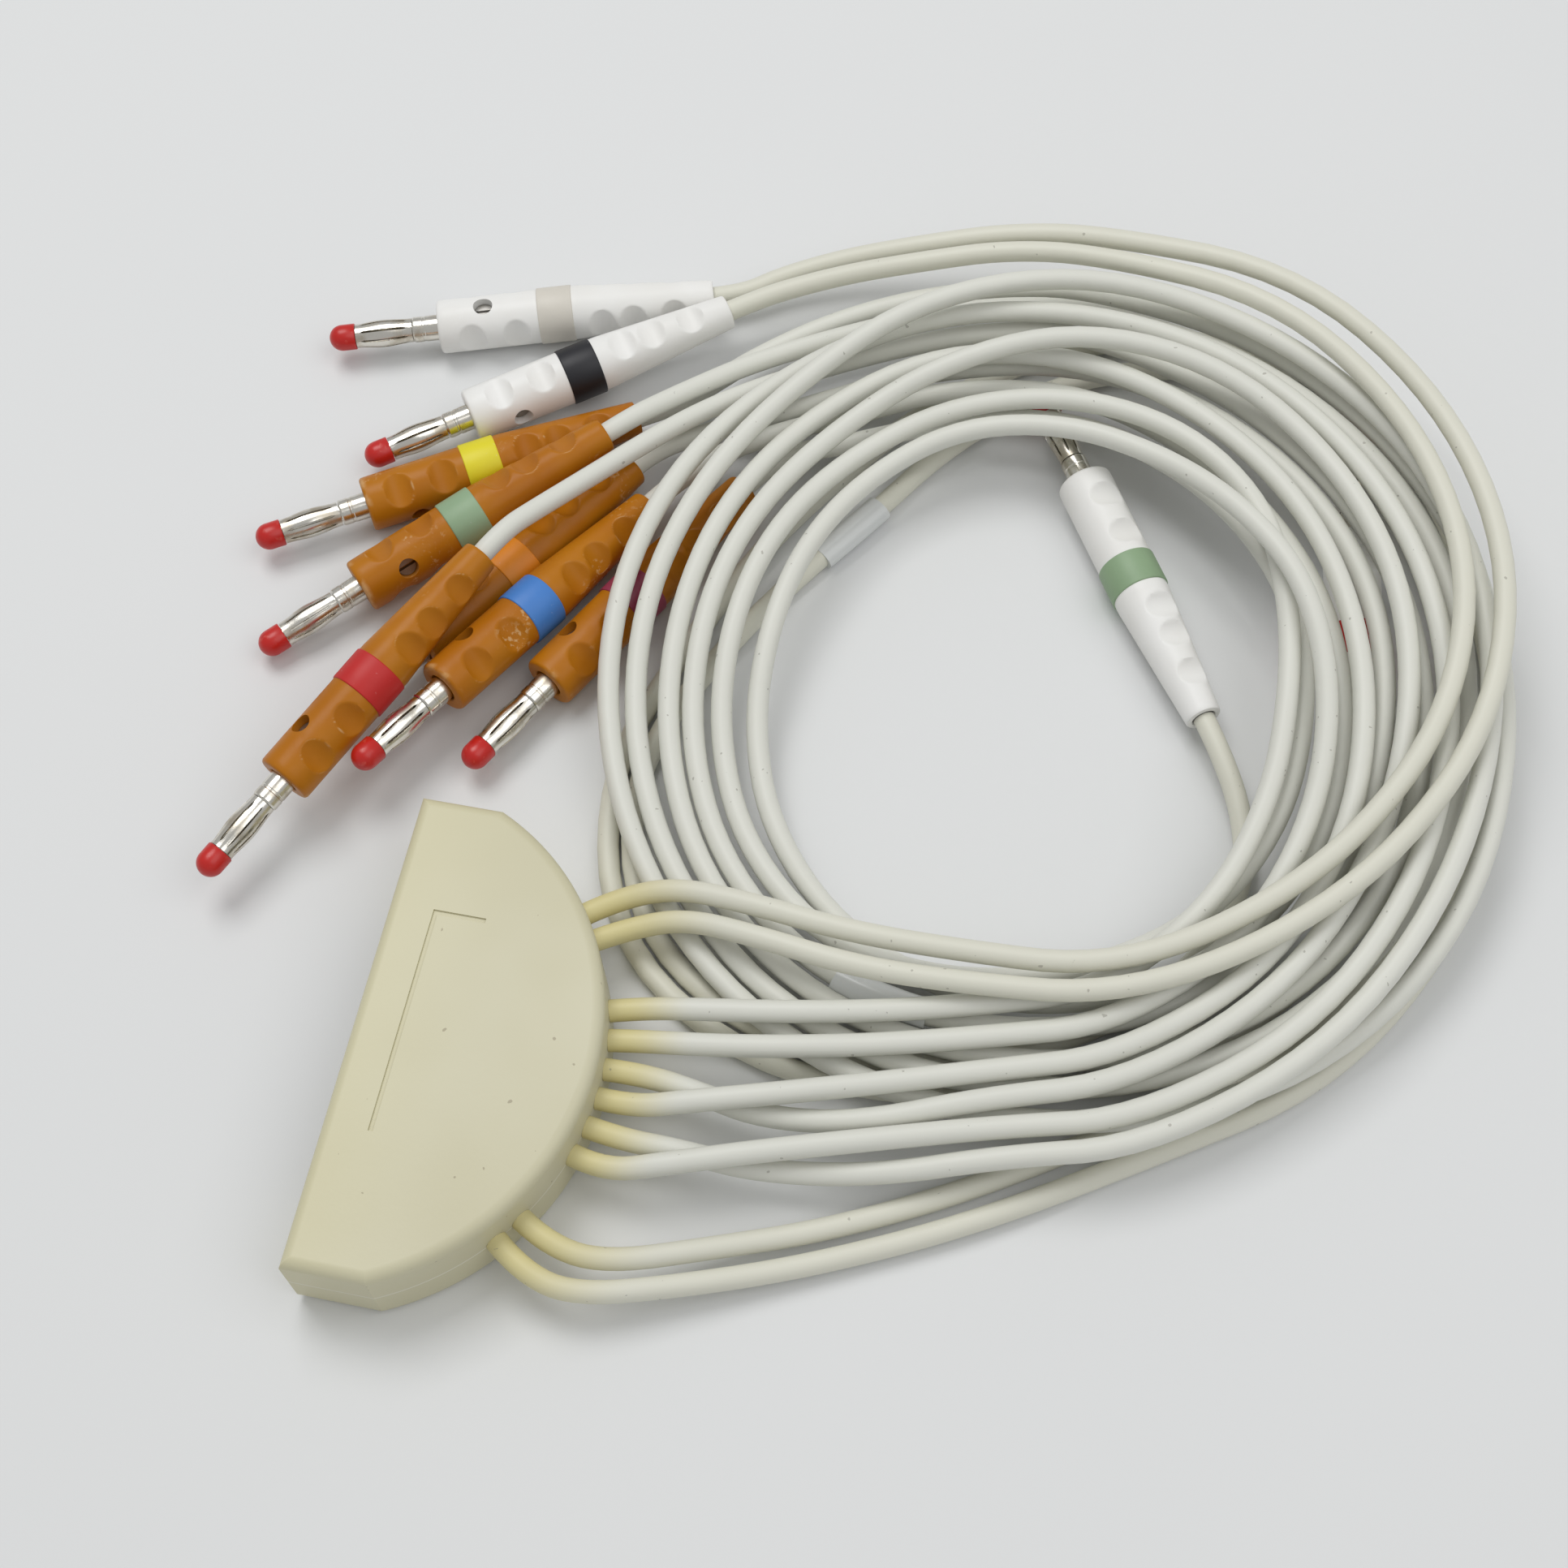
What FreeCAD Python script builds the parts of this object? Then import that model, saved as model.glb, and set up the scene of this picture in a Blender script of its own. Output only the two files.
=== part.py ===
import FreeCAD, Part
import os
import re
from math import acos, cos, pi, radians, sin, sqrt, tan

# A ten-lead patient cable: a D-shaped connector block, ten thin leads in a loose coil,
# and a banana plug on each lead. Millimetres, Z up, origin under the middle of the block.

SIZES = [
    ("housing_length", 67.5),
    ("housing_depth", 33.0),
    ("housing_height", 14.0),
    ("parting_height", 7.0),
    ("front_radius", 37.2),
    ("edge_round", 1.6),
    ("bracket_inset", 6.3),
    ("bracket_drop", 16.4),
    ("bracket_long", 31.7),
    ("bracket_short", 7.3),
    ("bracket_width", 0.7),
    ("bracket_depth", 0.3),
    ("block_length", 42.0),
    ("block_depth", 9.0),
    ("block_height", 8.0),
    ("contact_width", 1.4),
    ("contact_pitch", 7.6),
    ("contact_row_gap", 3.6),
    ("contact_tail", 3.0),
    ("wire_space_depth", 14.0),
    ("lead_diameter", 3.1),
    ("chest_exit_pitch", 4.1),
    ("limb_exit_inner", 19.9),
    ("limb_exit_outer", 23.3),
    ("handle_length", 43.0),
    ("handle_radius", 4.1),
    ("handle_taper", 21.0),
    ("handle_end_radius", 2.6),
    ("handle_chamfer", 0.5),
    ("band_setback", 15.6),
    ("band_width", 5.4),
    ("band_thickness", 0.2),
    ("screw_hole_setback", 7.3),
    ("screw_hole_radius", 1.5),
    ("screw_hole_depth", 2.4),
    ("collar_radius", 1.95),
    ("collar_length", 5.0),
    ("core_radius", 1.25),
    ("cage_length", 9.0),
    ("cage_radius", 2.2),
    ("cage_wall", 0.3),
    ("cage_end_ring", 0.9),
    ("cage_bow", 2.4),
    ("cage_slit", 0.35),
    ("cage_clearance", 0.06),
    ("cage_end_play", 0.1),
    ("tip_radius", 2.0),
    ("tip_length", 3.2),
]

doc = FreeCAD.newDocument("patient_cable")
sheet = doc.addObject("Spreadsheet::Sheet", "sizes")
for row, (alias, value) in enumerate(SIZES, start=1):
    sheet.set("A%d" % row, alias)
    sheet.set("B%d" % row, str(value))
    sheet.setAlias("B%d" % row, alias)
doc.recompute()
ALIASES = [alias for alias, value in SIZES]
CAGE_LEAVES = 8


def size(alias):
    return float(sheet.get(alias))


def bind(thing, prop, formula):
    """Ties a property to a formula written in the sheet's own names."""
    names = re.compile(r"\b(%s)\b" % "|".join(ALIASES))
    thing.setExpression(prop, names.sub(r"sizes.\1", formula))


def place(thing, x="0", y="0", z="0"):
    bind(thing, "Placement.Base.x", x)
    bind(thing, "Placement.Base.y", y)
    bind(thing, "Placement.Base.z", z)
    return thing


def box(name, length, width, height):
    thing = doc.addObject("Part::Box", name)
    bind(thing, "Length", length)
    bind(thing, "Width", width)
    bind(thing, "Height", height)
    return thing


def cylinder(name, radius, height):
    thing = doc.addObject("Part::Cylinder", name)
    bind(thing, "Radius", radius)
    bind(thing, "Height", height)
    return thing


def cone(name, radius_1, radius_2, height):
    thing = doc.addObject("Part::Cone", name)
    bind(thing, "Radius1", radius_1)
    bind(thing, "Radius2", radius_2)
    bind(thing, "Height", height)
    return thing


def fuse(name, pieces):
    thing = doc.addObject("Part::MultiFuse", name)
    thing.Shapes = pieces
    thing.Refine = True
    return thing


def common(name, pieces):
    thing = doc.addObject("Part::MultiCommon", name)
    thing.Shapes = pieces
    return thing


def cut(name, base, tool):
    thing = doc.addObject("Part::Cut", name)
    thing.Base = base
    thing.Tool = tool
    return thing


def group(name, pieces):
    thing = doc.addObject("Part::Compound", name)
    thing.Links = pieces
    return thing


def solid(name, shape, placement=None):
    """A finished shape under its node's name, placed after it is set."""
    thing = doc.addObject("Part::Feature", name)
    thing.Shape = shape
    if placement:
        thing.Placement = placement
    return thing


NODES = []


def node(thing, label):
    thing.Label = label
    NODES.append(thing)
    return thing


def fillet_edges(name, base, radius, wanted):
    """Rounds the edges of base that wanted(edge) picks."""
    doc.recompute()
    thing = doc.addObject("Part::Fillet", name)
    thing.Base = base
    picked = []
    for number, edge in enumerate(base.Shape.Edges, start=1):
        if wanted(edge):
            picked.append((number, size(radius), size(radius)))
    thing.Edges = picked
    return thing


# Connector block: two D-shaped shells that meet on a parting line

def d_block(name, bottom, top):
    """A slice of the D outline."""
    slab = box(name + "_slab", "housing_depth", "housing_length", "%s - %s" % (top, bottom))
    place(slab, "-housing_depth / 2", "-housing_length / 2", bottom)
    drum = cylinder(name + "_drum", "front_radius", "%s - %s" % (top, bottom))
    place(drum, "housing_depth / 2 - front_radius", "0", bottom)
    return common(name, [slab, drum])


def level(edge):
    """The height of a level edge, or None."""
    heights = [vertex.Point.z for vertex in edge.Vertexes]
    return heights[0] if max(heights) - min(heights) < 1e-6 else None


def rim(height):
    return lambda edge: level(edge) is not None and abs(level(edge) - height) < 1e-6


def exit_places():
    """Each lead's exit on the curved wall: its point and the way it leaves."""
    pitch = size("chest_exit_pitch")
    limbs = [size("limb_exit_outer"), size("limb_exit_inner")]
    chest = [pitch * (2.5 - count) for count in range(6)]
    radius = size("front_radius")
    centre = size("housing_depth") / 2 - radius
    places = []
    for y in limbs + chest + [-limbs[1], -limbs[0]]:
        reach = sqrt(radius ** 2 - y ** 2)
        point = FreeCAD.Vector(centre + reach, y, size("parting_height"))
        places.append((point, FreeCAD.Vector(reach, y, 0).normalize()))
    return places


EXITS = exit_places()


def contacts(name):
    """Two rows of square contacts through the connector insert."""
    pieces = []
    for row in (-0.5, 0.5):
        for column in range(5):
            piece = box("%s_%d" % (name, len(pieces)), "block_depth + contact_tail",
                        "contact_width", "contact_width")
            place(piece, "-housing_depth / 2", "contact_pitch * %g - contact_width / 2" % (column - 2),
                  "parting_height + contact_row_gap * %g - contact_width / 2" % row)
            pieces.append(piece)
    return group(name, pieces)


def insert_block(name):
    block = box(name, "block_depth", "block_length", "block_height")
    return place(block, "-housing_depth / 2", "-block_length / 2", "parting_height - block_height / 2")


def inner_space(name):
    """The insert's seat and, behind it, the room where its contacts meet the leads."""
    space = box(name, "block_depth + wire_space_depth", "block_length", "block_height")
    return place(space, "-housing_depth / 2", "-block_length / 2", "parting_height - block_height / 2")


def shell(name, bottom, top, outer_rim, marks):
    """One shell: its slice of the D, with a rounded rim and its half of the inner space."""
    outline = d_block(name + "_outline", bottom, top)
    rounded = fillet_edges(name + "_rounded", outline, "edge_round", rim(outer_rim))
    return cut(name, rounded, group(name + "_cuts", [inner_space(name + "_space")] + marks))


def bracket_marks():
    """The thin bracket sunk in the top: one long and one short line that meet at a corner."""
    top = "housing_height - bracket_depth"
    corner_x = "-housing_depth / 2 + bracket_inset"
    corner_y = "housing_length / 2 - bracket_drop"
    long_line = box("bracket_long_line", "bracket_width", "bracket_long", "bracket_depth")
    place(long_line, corner_x, corner_y + " - bracket_long", top)
    short_line = box("bracket_short_line", "bracket_short", "bracket_width", "bracket_depth")
    place(short_line, corner_x, corner_y + " - bracket_width", top)
    return [fuse("bracket", [long_line, short_line])]


node(shell("lower_shell", "0", "parting_height", 0, []), "housing_lower")
node(shell("upper_shell", "parting_height", "housing_height", size("housing_height"), bracket_marks()),
     "housing_upper")
node(cut("insert", insert_block("insert_blank"), contacts("contact_ways")), "contact_block")
node(contacts("contacts"), "contact_pins")


# One banana plug, lying along Z with its rear face at zero

def along(thing, z):
    return place(thing, "0", "0", z)


def plug_handle():
    taper = cone("handle_cone", "handle_end_radius", "handle_radius", "handle_taper")
    barrel = along(cylinder("handle_barrel", "handle_radius",
                            "handle_length - handle_taper - handle_chamfer"), "handle_taper")
    nose = along(cone("handle_nose", "handle_radius", "handle_radius - handle_chamfer", "handle_chamfer"),
                 "handle_length - handle_chamfer")
    hole = cylinder("handle_hole", "screw_hole_radius", "2 * screw_hole_depth")
    hole.Placement.Rotation = FreeCAD.Rotation(FreeCAD.Vector(0, 1, 0), 90)
    place(hole, "handle_radius - screw_hole_depth", "0", "handle_length - screw_hole_setback")
    return cut("handle", fuse("handle_blank", [taper, barrel, nose]), hole)


def plug_band():
    outer = cylinder("band_outer", "handle_radius + band_thickness", "band_width")
    inner = cylinder("band_inner", "handle_radius", "band_width")
    start = "handle_length - band_setback - band_width"
    return cut("band", along(outer, start), along(inner, start))


def plug_pin():
    collar = along(cylinder("pin_collar", "collar_radius", "collar_length"), "handle_length")
    core = along(cylinder("pin_core", "core_radius", "cage_length"), "handle_length + collar_length")
    return fuse("pin", [collar, core])


def cage_leaf():
    """One leaf of the spring cage: a thin strip that bows out between the end rings."""
    start = size("handle_length") + size("collar_length") + size("cage_end_play")
    end = start + size("cage_length") - 2 * size("cage_end_play")
    low = size("core_radius") + size("cage_clearance")
    high = size("cage_radius") - size("cage_wall")
    ring = size("cage_end_ring")
    bow = size("cage_bow")
    inside = [(low, start), (low, start + ring), (high, start + ring + bow), (high, end - ring - bow),
              (low, end - ring), (low, end)]
    outside = [(radius + size("cage_wall"), height) for radius, height in reversed(inside)]
    width = 2 * (low + size("cage_wall")) * tan(pi / CAGE_LEAVES) - size("cage_slit")
    corners = [FreeCAD.Vector(radius, -width / 2, height) for radius, height in inside + outside]
    return Part.Face(Part.makePolygon(corners + corners[:1])).extrude(FreeCAD.Vector(0, width, 0))


def cage_ring(height):
    """An end ring folded to as many flats as there are leaves."""
    low = size("core_radius") + size("cage_clearance")
    rings = []
    for apothem in (low, low + size("cage_wall")):
        corners = []
        for count in range(CAGE_LEAVES + 1):
            angle = 2 * pi * (count + 0.5) / CAGE_LEAVES
            reach = apothem / cos(pi / CAGE_LEAVES)
            corners.append(FreeCAD.Vector(reach * cos(angle), reach * sin(angle), height))
        rings.append(Part.Face(Part.makePolygon(corners)))
    return rings[1].cut(rings[0]).extrude(FreeCAD.Vector(0, 0, size("cage_end_ring")))


def plug_cage():
    """The leaf spring cage, folded from strip and free to turn on the pin."""
    first = size("handle_length") + size("collar_length") + size("cage_end_play")
    last = first + size("cage_length") - 2 * size("cage_end_play") - size("cage_end_ring")
    leaf = cage_leaf()
    leaves = []
    for count in range(CAGE_LEAVES):
        turned = leaf.copy()
        turned.rotate(FreeCAD.Vector(0, 0, 0), FreeCAD.Vector(0, 0, 1), 360 * count / CAGE_LEAVES)
        leaves.append(turned)
    return solid("cage", cage_ring(first).multiFuse([cage_ring(last)] + leaves).removeSplitter().Solids[0])


def plug_tip():
    """The moulded end: a short stub under a half ball."""
    start = "handle_length + collar_length + cage_length"
    stub = along(cylinder("tip_stub", "tip_radius", "tip_length - tip_radius"), start)
    dome = doc.addObject("Part::Sphere", "tip_dome")
    dome.Angle1 = 0
    bind(dome, "Radius", "tip_radius")
    along(dome, start + " + tip_length - tip_radius")
    return fuse("tip", [stub, dome])


MASTERS = {
    "handle": plug_handle(),
    "cage": plug_cage(),
    "pin": plug_pin(),
    "band": plug_band(),
    "tip": plug_tip(),
}
doc.recompute()

# Where each plug lies: its rear face's centre, its heading and climb in degrees, and
# the turn about its own axis that brings its screw hole to the photographed side.
PLUGS = {
    "LA": ((5.4, 127.0, 6.7), -144.5, -2.7, -88),
    "RA": ((2.0, 131.1, 4.35), -162.0, 0.0, 0),
    "V6": ((14.2, 96.8, 4.35), -118.5, 0.0, 61),
    "V4": ((0.9, 90.7, 5.0), -119.0, 4.7, 60),
    "V5": ((-2.9, 97.5, 4.35), -122.5, 0.0, 100),
    "V1": ((-18.6, 72.7, 13.9), -116.5, -6.2, 30),
    "V3": ((-7.3, 99.7, 9.1), -135.0, -5.8, -54),
    "V2": ((-4.4, 106.6, 4.35), -148.0, 0.0, -105),
    "RL": ((86.7, 70.7, 4.35), 122.0, 0.0, 100),
    "LL": ((110.0, 61.5, 4.35), 98.5, 0.0, 100),
}


UP = FreeCAD.Vector(0, 0, 1)


def plug_way(name):
    """The direction from a plug's rear face to its tip."""
    rear, heading, climb, roll = PLUGS[name]
    flat = cos(radians(climb))
    return FreeCAD.Vector(flat * cos(radians(heading)), flat * sin(radians(heading)), sin(radians(climb)))


def plug_rear(name):
    return FreeCAD.Vector(*PLUGS[name][0])


def plug_placement(name):
    way = plug_way(name)
    upright = (UP - way * UP.dot(way)).normalize()
    turn = FreeCAD.Rotation(upright, way.cross(upright), way, "ZXY")
    roll = FreeCAD.Rotation(UP, PLUGS[name][3])
    return FreeCAD.Placement(plug_rear(name), turn.multiply(roll))


def placed(master, name):
    shape = MASTERS[master].Shape.copy()
    shape.Placement = plug_placement(name).multiply(shape.Placement)
    return shape


for plug in PLUGS:
    node(solid("handle_" + plug, placed("handle", plug)), "handle_" + plug)
    node(solid("cage_" + plug, placed("cage", plug)), "cage_" + plug)
for master, label in (("pin", "plug_pins"), ("band", "id_bands"), ("tip", "plug_tips")):
    copies = [placed(master, plug) for plug in PLUGS]
    node(solid(label, Part.makeCompound(copies)), label)


# The loose coil: a ring round COIL_CENTRE whose hole and width change with the bearing.
# Strands lie side by side in slots, and laps lie on one another in layers.
COIL_CENTRE = FreeCAD.Vector(60, 71, 0)
LAYER = 3.6
REST = size("lead_diameter") / 2 + 0.05
NODE_STEP = 45


def ease(value, low, high):
    """Goes smoothly from 0 at low to 1 at high."""
    share = min(max((value - low) / (high - low), 0), 1)
    return share * share * (3 - 2 * share)


def hump(bearing, middle, half_width, height):
    off = abs((bearing - middle + 180) % 360 - 180)
    return height * cos(radians(90 * off / half_width)) ** 2 if off < half_width else 0


def rise(bearing):
    """How far the strands climb over the plugs that lie under them."""
    return hump(bearing, 18, 80, 6.2) + hump(bearing, 92, 60, 3.6) + hump(bearing, 168, 44, 2.6)


def hole_radius(angle):
    return 42.5 - 3.2 * cos(angle) - 3.5 * sin(angle) - 3.2 * cos(2 * angle)


def band_width(angle):
    return 23.2 + 5.0 * cos(angle) + 3.0 * sin(angle)


def on_ring(bearing, slot, layer, lift, shift):
    angle = radians(bearing)
    radius = hole_radius(angle) + slot * band_width(angle) + shift
    height = REST + LAYER * layer + lift * rise(bearing)
    return COIL_CENTRE + FreeCAD.Vector(radius * cos(angle), radius * sin(angle), height)


def sink(bearing):
    """The drop by one layer on the left, before the second lap passes under the first."""
    return ease(bearing, 150, 235)


def chest_strand(slot, bearing):
    """Six chest leads keep side by side and sway across the ring, out and in."""
    room = max(band_width(radians(bearing)) / 5 - 3.6, 0)
    waver = 0.35 * room * sin(radians(1.5 * bearing) + 5 * slot)
    return on_ring(bearing, slot, 2 - sink(bearing), 1, waver - 4 * sin(radians(bearing / 2 - 20)))


def arm_strand(slot, bearing):
    """The two arm leads start inside and cross over the ring to its outer edge."""
    across = slot * (0.9 + 0.1 * ease(bearing, -60, 0)) + 1.22 * ease(bearing, -85, 30)
    return on_ring(bearing, across, 3 - 1.4 * ease(bearing, 35, 95), 1, 0)


def leg_strand(slot, bearing):
    """The two leg leads lie on the table and pass in and out under the others."""
    inward = 1.2 * ease(bearing, 50, 140) - 1.05 * ease(bearing, 165, 225)
    return on_ring(bearing, 1.16 + slot - inward - 0.7 * ease(bearing, 225, 290), 0, 0, 0)


# Each lead: its strand and slot, first and last bearing on the ring, the points chosen
# by hand from the block to the ring, and those from the ring to the plug.
LEADS = {
    "LA": (arm_strand, 0.0, -67.5, 67.5,
           [(20, 28.6, 9.2), (30.5, 27.4, 11.4), (44.5, 25.4, 12.4), (59, 25.4, 12.6)],
           [(60, 143.8, 11.6), (46, 142.4, 11.2), (33.5, 139.6, 9.8), (22.5, 136.2, 8.3), (13.6, 132.4, 7.2)]),
    "RA": (arm_strand, 0.2, -67.5, 67.5,
           [(22.6, 24.4, 9.4), (33, 22.7, 11.6), (46.5, 20.6, 12.4), (60.5, 20.9, 12.6)],
           [(60, 148.4, 11.4), (46, 146.8, 10.2), (33, 144.2, 8.2), (21, 140.6, 6.3), (11.4, 136.2, 4.9)]),
    "V6": (chest_strand, 0.0, -67.5, 472.5,
           [(27.5, 12.5, 8), (37, 13.6, 9), (50, 16.2, 9), (64, 20, 8.9)],
           [(34.5, 109.2, 6.4), (27, 106.5, 5.2), (20.6, 104.6, 4.6)]),
    "V4": (chest_strand, 0.2, -67.5, 472.5,
           [(28.5, 7.6, 7.9), (38, 8.8, 8.9), (51, 11.6, 8.9), (65, 15.5, 8.9)],
           [(30, 112.6, 6.4), (20, 108.6, 5.2), (12, 104, 4.9), (7.4, 99.8, 4.8)]),
    "V5": (chest_strand, 0.4, -67.5, 472.5,
           [(29, 2.9, 7.9), (39, 4.2, 8.8), (52, 7.1, 8.8), (66.5, 11.4, 8.8)],
           [(27.5, 116, 6), (16.5, 110.8, 4.5), (8, 106.6, 4.35)]),
    "V1": (chest_strand, 0.6, -67.5, 427.5,
           [(29, -1.8, 7.9), (39.5, -0.5, 8.8), (53, 2.8, 8.8), (68, 7.5, 8.8)],
           [(60, 131, 9), (46.5, 129.4, 8.2), (34, 125.4, 7), (22, 119.6, 6.2), (11.8, 112.8, 6.8),
            (4.8, 106, 8.2), (-1.2, 98.6, 9.6), (-7.2, 90.6, 11), (-13, 82.4, 13)]),
    "V3": (chest_strand, 0.8, -67.5, 427.5,
           [(28.5, -6.8, 7.8), (39.5, -5, 8.7), (54, -1.4, 8.8), (69.5, 3.6, 8.8)],
           [(60, 135.6, 9), (46, 134, 8.4), (33, 130, 7.1), (21, 124.3, 6.4), (10.8, 117.6, 7),
            (4.2, 111.4, 8.1), (-0.2, 106.9, 9)]),
    "V2": (chest_strand, 1.0, -67.5, 427.5,
           [(27.5, -11.6, 7.8), (39.5, -9.5, 8.6), (55, -5.7, 8.8), (71, -0.4, 8.8)],
           [(60, 139.8, 8.6), (46, 138.2, 7.4), (33, 134.9, 6), (21, 129, 4.9), (11, 120.9, 4.5),
            (3.6, 112.6, 4.35)]),
    "RL": (leg_strand, 0.0, -45, 270,
           [(23, -25.2, 5.8), (35, -22.4, 3.4), (49.5, -14.6, 1.8), (67, -4.4, 1.6), (88, 7.2, 1.6)],
           [(73, 18.6, 1.6), (82.5, 25, 1.6), (89.5, 32.5, 1.6), (94, 41, 1.6), (95.6, 50, 1.9),
            (93.6, 58.6, 2.8)]),
    "LL": (leg_strand, 0.23, -45, 270,
           [(20, -30.2, 6), (32, -28.8, 3.6), (47.5, -20.6, 1.8), (66.5, -10, 1.6), (88, 0.8, 1.6)],
           [(73, 12, 1.6), (85, 16.6, 1.6), (95.5, 23.8, 1.6), (104, 32.5, 1.6), (109.5, 41.5, 1.9),
            (111.2, 48.8, 2.8)]),
}
STRAIGHT = 5.0
TUBE_SIDES = 5
radii = []


def rounded(points):
    """Straight runs whose corners are tangent arcs, each as large as its runs allow."""
    edges = []
    start = points[0]
    for before, corner, after in zip(points, points[1:], points[2:]):
        run_in = corner - before
        run_out = after - corner
        half_turn = run_in.getAngle(run_out) / 2
        trim = 0.45 * min(run_in.Length, run_out.Length)
        radii.append(trim / tan(half_turn))
        way_in = FreeCAD.Vector(run_in).normalize()
        way_out = FreeCAD.Vector(run_out).normalize()
        first = corner - way_in * trim
        last = corner + way_out * trim
        inward = (way_out - way_in).normalize()
        middle = corner + inward * (trim / tan(half_turn)) * (1 / cos(half_turn) - 1)
        edges.append(Part.LineSegment(start, first).toShape())
        edges.append(Part.Arc(first, middle, last).toShape())
        start = last
    edges.append(Part.LineSegment(start, points[-1]).toShape())
    return edges


def arc_from(start, way, end):
    """The arc that leaves start along way and reaches end."""
    chord = end - start
    across = FreeCAD.Vector(chord).normalize()
    lean = acos(max(-1, min(1, way.dot(across))))
    side = (way - across * way.dot(across)).normalize()
    middle = (start + end) * 0.5 + side * (chord.Length / 2 * tan(lean / 2))
    radii.append(chord.Length / 2 / sin(lean))
    return Part.Arc(start, middle, end).toShape()


def biarc(start, way_start, end, way_end):
    """Two arcs that join start to end and are tangent at both and at their joint."""
    chord = end - start
    both = way_start + way_end
    spread = 2 * (1 - way_start.dot(way_end))
    reach = (-chord.dot(both) + sqrt(chord.dot(both) ** 2 + spread * chord.dot(chord))) / spread
    joint = (start + end + (way_start - way_end) * reach) * 0.5
    way_joint = (joint - start - way_start * reach).normalize()
    return [arc_from(start, way_start, joint), arc_from(joint, way_joint, end)]


def ring_way(strand, slot, bearing):
    return (strand(slot, bearing + 1) - strand(slot, bearing - 1)).normalize()


def lead_edges(name, number):
    strand, slot, first_bearing, last_bearing, lead_in, lead_out = LEADS[name]
    point, way = EXITS[number]
    steps = int(round((last_bearing - first_bearing) / NODE_STEP))
    bearings = [first_bearing + NODE_STEP * step for step in range(steps + 1)]
    turns = [strand(slot, bearing) for bearing in bearings]
    rear = plug_rear(name)
    behind = rear - plug_way(name) * STRAIGHT
    entry = [point, point + way * STRAIGHT] + [FreeCAD.Vector(*spot) for spot in lead_in] + [turns[0]]
    leave = [turns[-1]] + [FreeCAD.Vector(*spot) for spot in lead_out] + [behind, rear]
    ways = [ring_way(strand, slot, bearing) for bearing in bearings]
    ways[0] = (entry[-1] - entry[-2]).normalize()
    ways[-1] = (leave[1] - leave[0]).normalize()
    edges = rounded(entry)
    for count in range(steps):
        edges += biarc(turns[count], ways[count], turns[count + 1], ways[count + 1])
    return edges + rounded(leave)


def tube(wire, start, way):
    """A many-sided tube along wire."""
    radius = size("lead_diameter") / 2
    turn = FreeCAD.Rotation(UP, way)
    corners = []
    for side in range(TUBE_SIDES + 1):
        angle = 2 * pi * side / TUBE_SIDES
        corners.append(start + turn.multVec(FreeCAD.Vector(radius * cos(angle), radius * sin(angle), 0)))
    section = Part.makePolygon(corners)
    return wire.makePipeShell([section], True, False), Part.Face(section).Area


def least_gap(first, second, skip):
    """The least clear distance between two sampled centre lines."""
    best = 1e9
    for count, spot in enumerate(first):
        for other, there in enumerate(second):
            if first is second and other - count < skip:
                continue
            best = min(best, spot.distanceToPoint(there))
    return best - size("lead_diameter")


SAMPLE = 2.0
lines = {}
for number, name in enumerate(LEADS):
    radii.clear()
    wire = Part.Wire(lead_edges(name, number))
    swept, section = tube(wire, EXITS[number][0], EXITS[number][1])
    lines[name] = wire.discretize(Distance=SAMPLE)
    node(solid("lead_" + name, swept), "lead_" + name)
    print("lead_%s length %.0f least radius %.1f volume over section times length %.4f own gap %.2f" % (
        name, wire.Length, min(radii), swept.Volume / (section * wire.Length),
        least_gap(lines[name], lines[name], 15)))
names = list(lines)
for count, name in enumerate(names):
    for other in names[count + 1:]:
        gap = least_gap(lines[name], lines[other], 0)
        if gap < 0.5:
            print("lead_%s to lead_%s least gap %.2f" % (name, other, gap))

doc.recompute()
os.makedirs("parts", exist_ok=True)
for thing in doc.Objects:
    if "Invalid" in thing.State or "Error" in thing.State:
        raise RuntimeError("%s did not build" % thing.Name)
for thing in NODES:
    if thing.Shape.isNull() or not thing.Shape.isValid():
        raise RuntimeError("%s has no valid solid" % thing.Label)
    thing.Shape.exportStep("parts/%s.step" % thing.Label)
print("nodes", len(NODES))
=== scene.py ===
# %% [markdown]
# # A ten-lead patient cable, dressed for the camera
#
# The object is the cable set of a heart recorder: a flat D-shaped block, ten thin
# leads in a loose coil, and a banana plug on each lead. The frame holds the solids.
# This notebook puts smooth leads, dimpled grips, leaf cages and finishes on them.

# %% Load the frame
import math

import bmesh
import bpy
from mathutils import Matrix, Vector


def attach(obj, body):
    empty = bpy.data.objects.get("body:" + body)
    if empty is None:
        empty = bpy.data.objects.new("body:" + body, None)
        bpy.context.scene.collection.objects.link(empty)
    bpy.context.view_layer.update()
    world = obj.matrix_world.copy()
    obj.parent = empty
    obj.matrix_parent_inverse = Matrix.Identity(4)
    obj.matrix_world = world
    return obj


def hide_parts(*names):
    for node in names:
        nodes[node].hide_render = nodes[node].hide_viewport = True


MM = 0.001
UP = Vector((0, 0, 1))
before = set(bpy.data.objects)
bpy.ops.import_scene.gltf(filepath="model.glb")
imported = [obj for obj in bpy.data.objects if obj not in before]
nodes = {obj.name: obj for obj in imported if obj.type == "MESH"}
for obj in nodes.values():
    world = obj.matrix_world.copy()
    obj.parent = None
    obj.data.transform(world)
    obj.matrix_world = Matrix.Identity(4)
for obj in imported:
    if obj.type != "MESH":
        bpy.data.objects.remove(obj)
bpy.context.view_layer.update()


def new_object(name, data):
    made = bpy.data.objects.new(name, data)
    bpy.context.scene.collection.objects.link(made)
    return made


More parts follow.
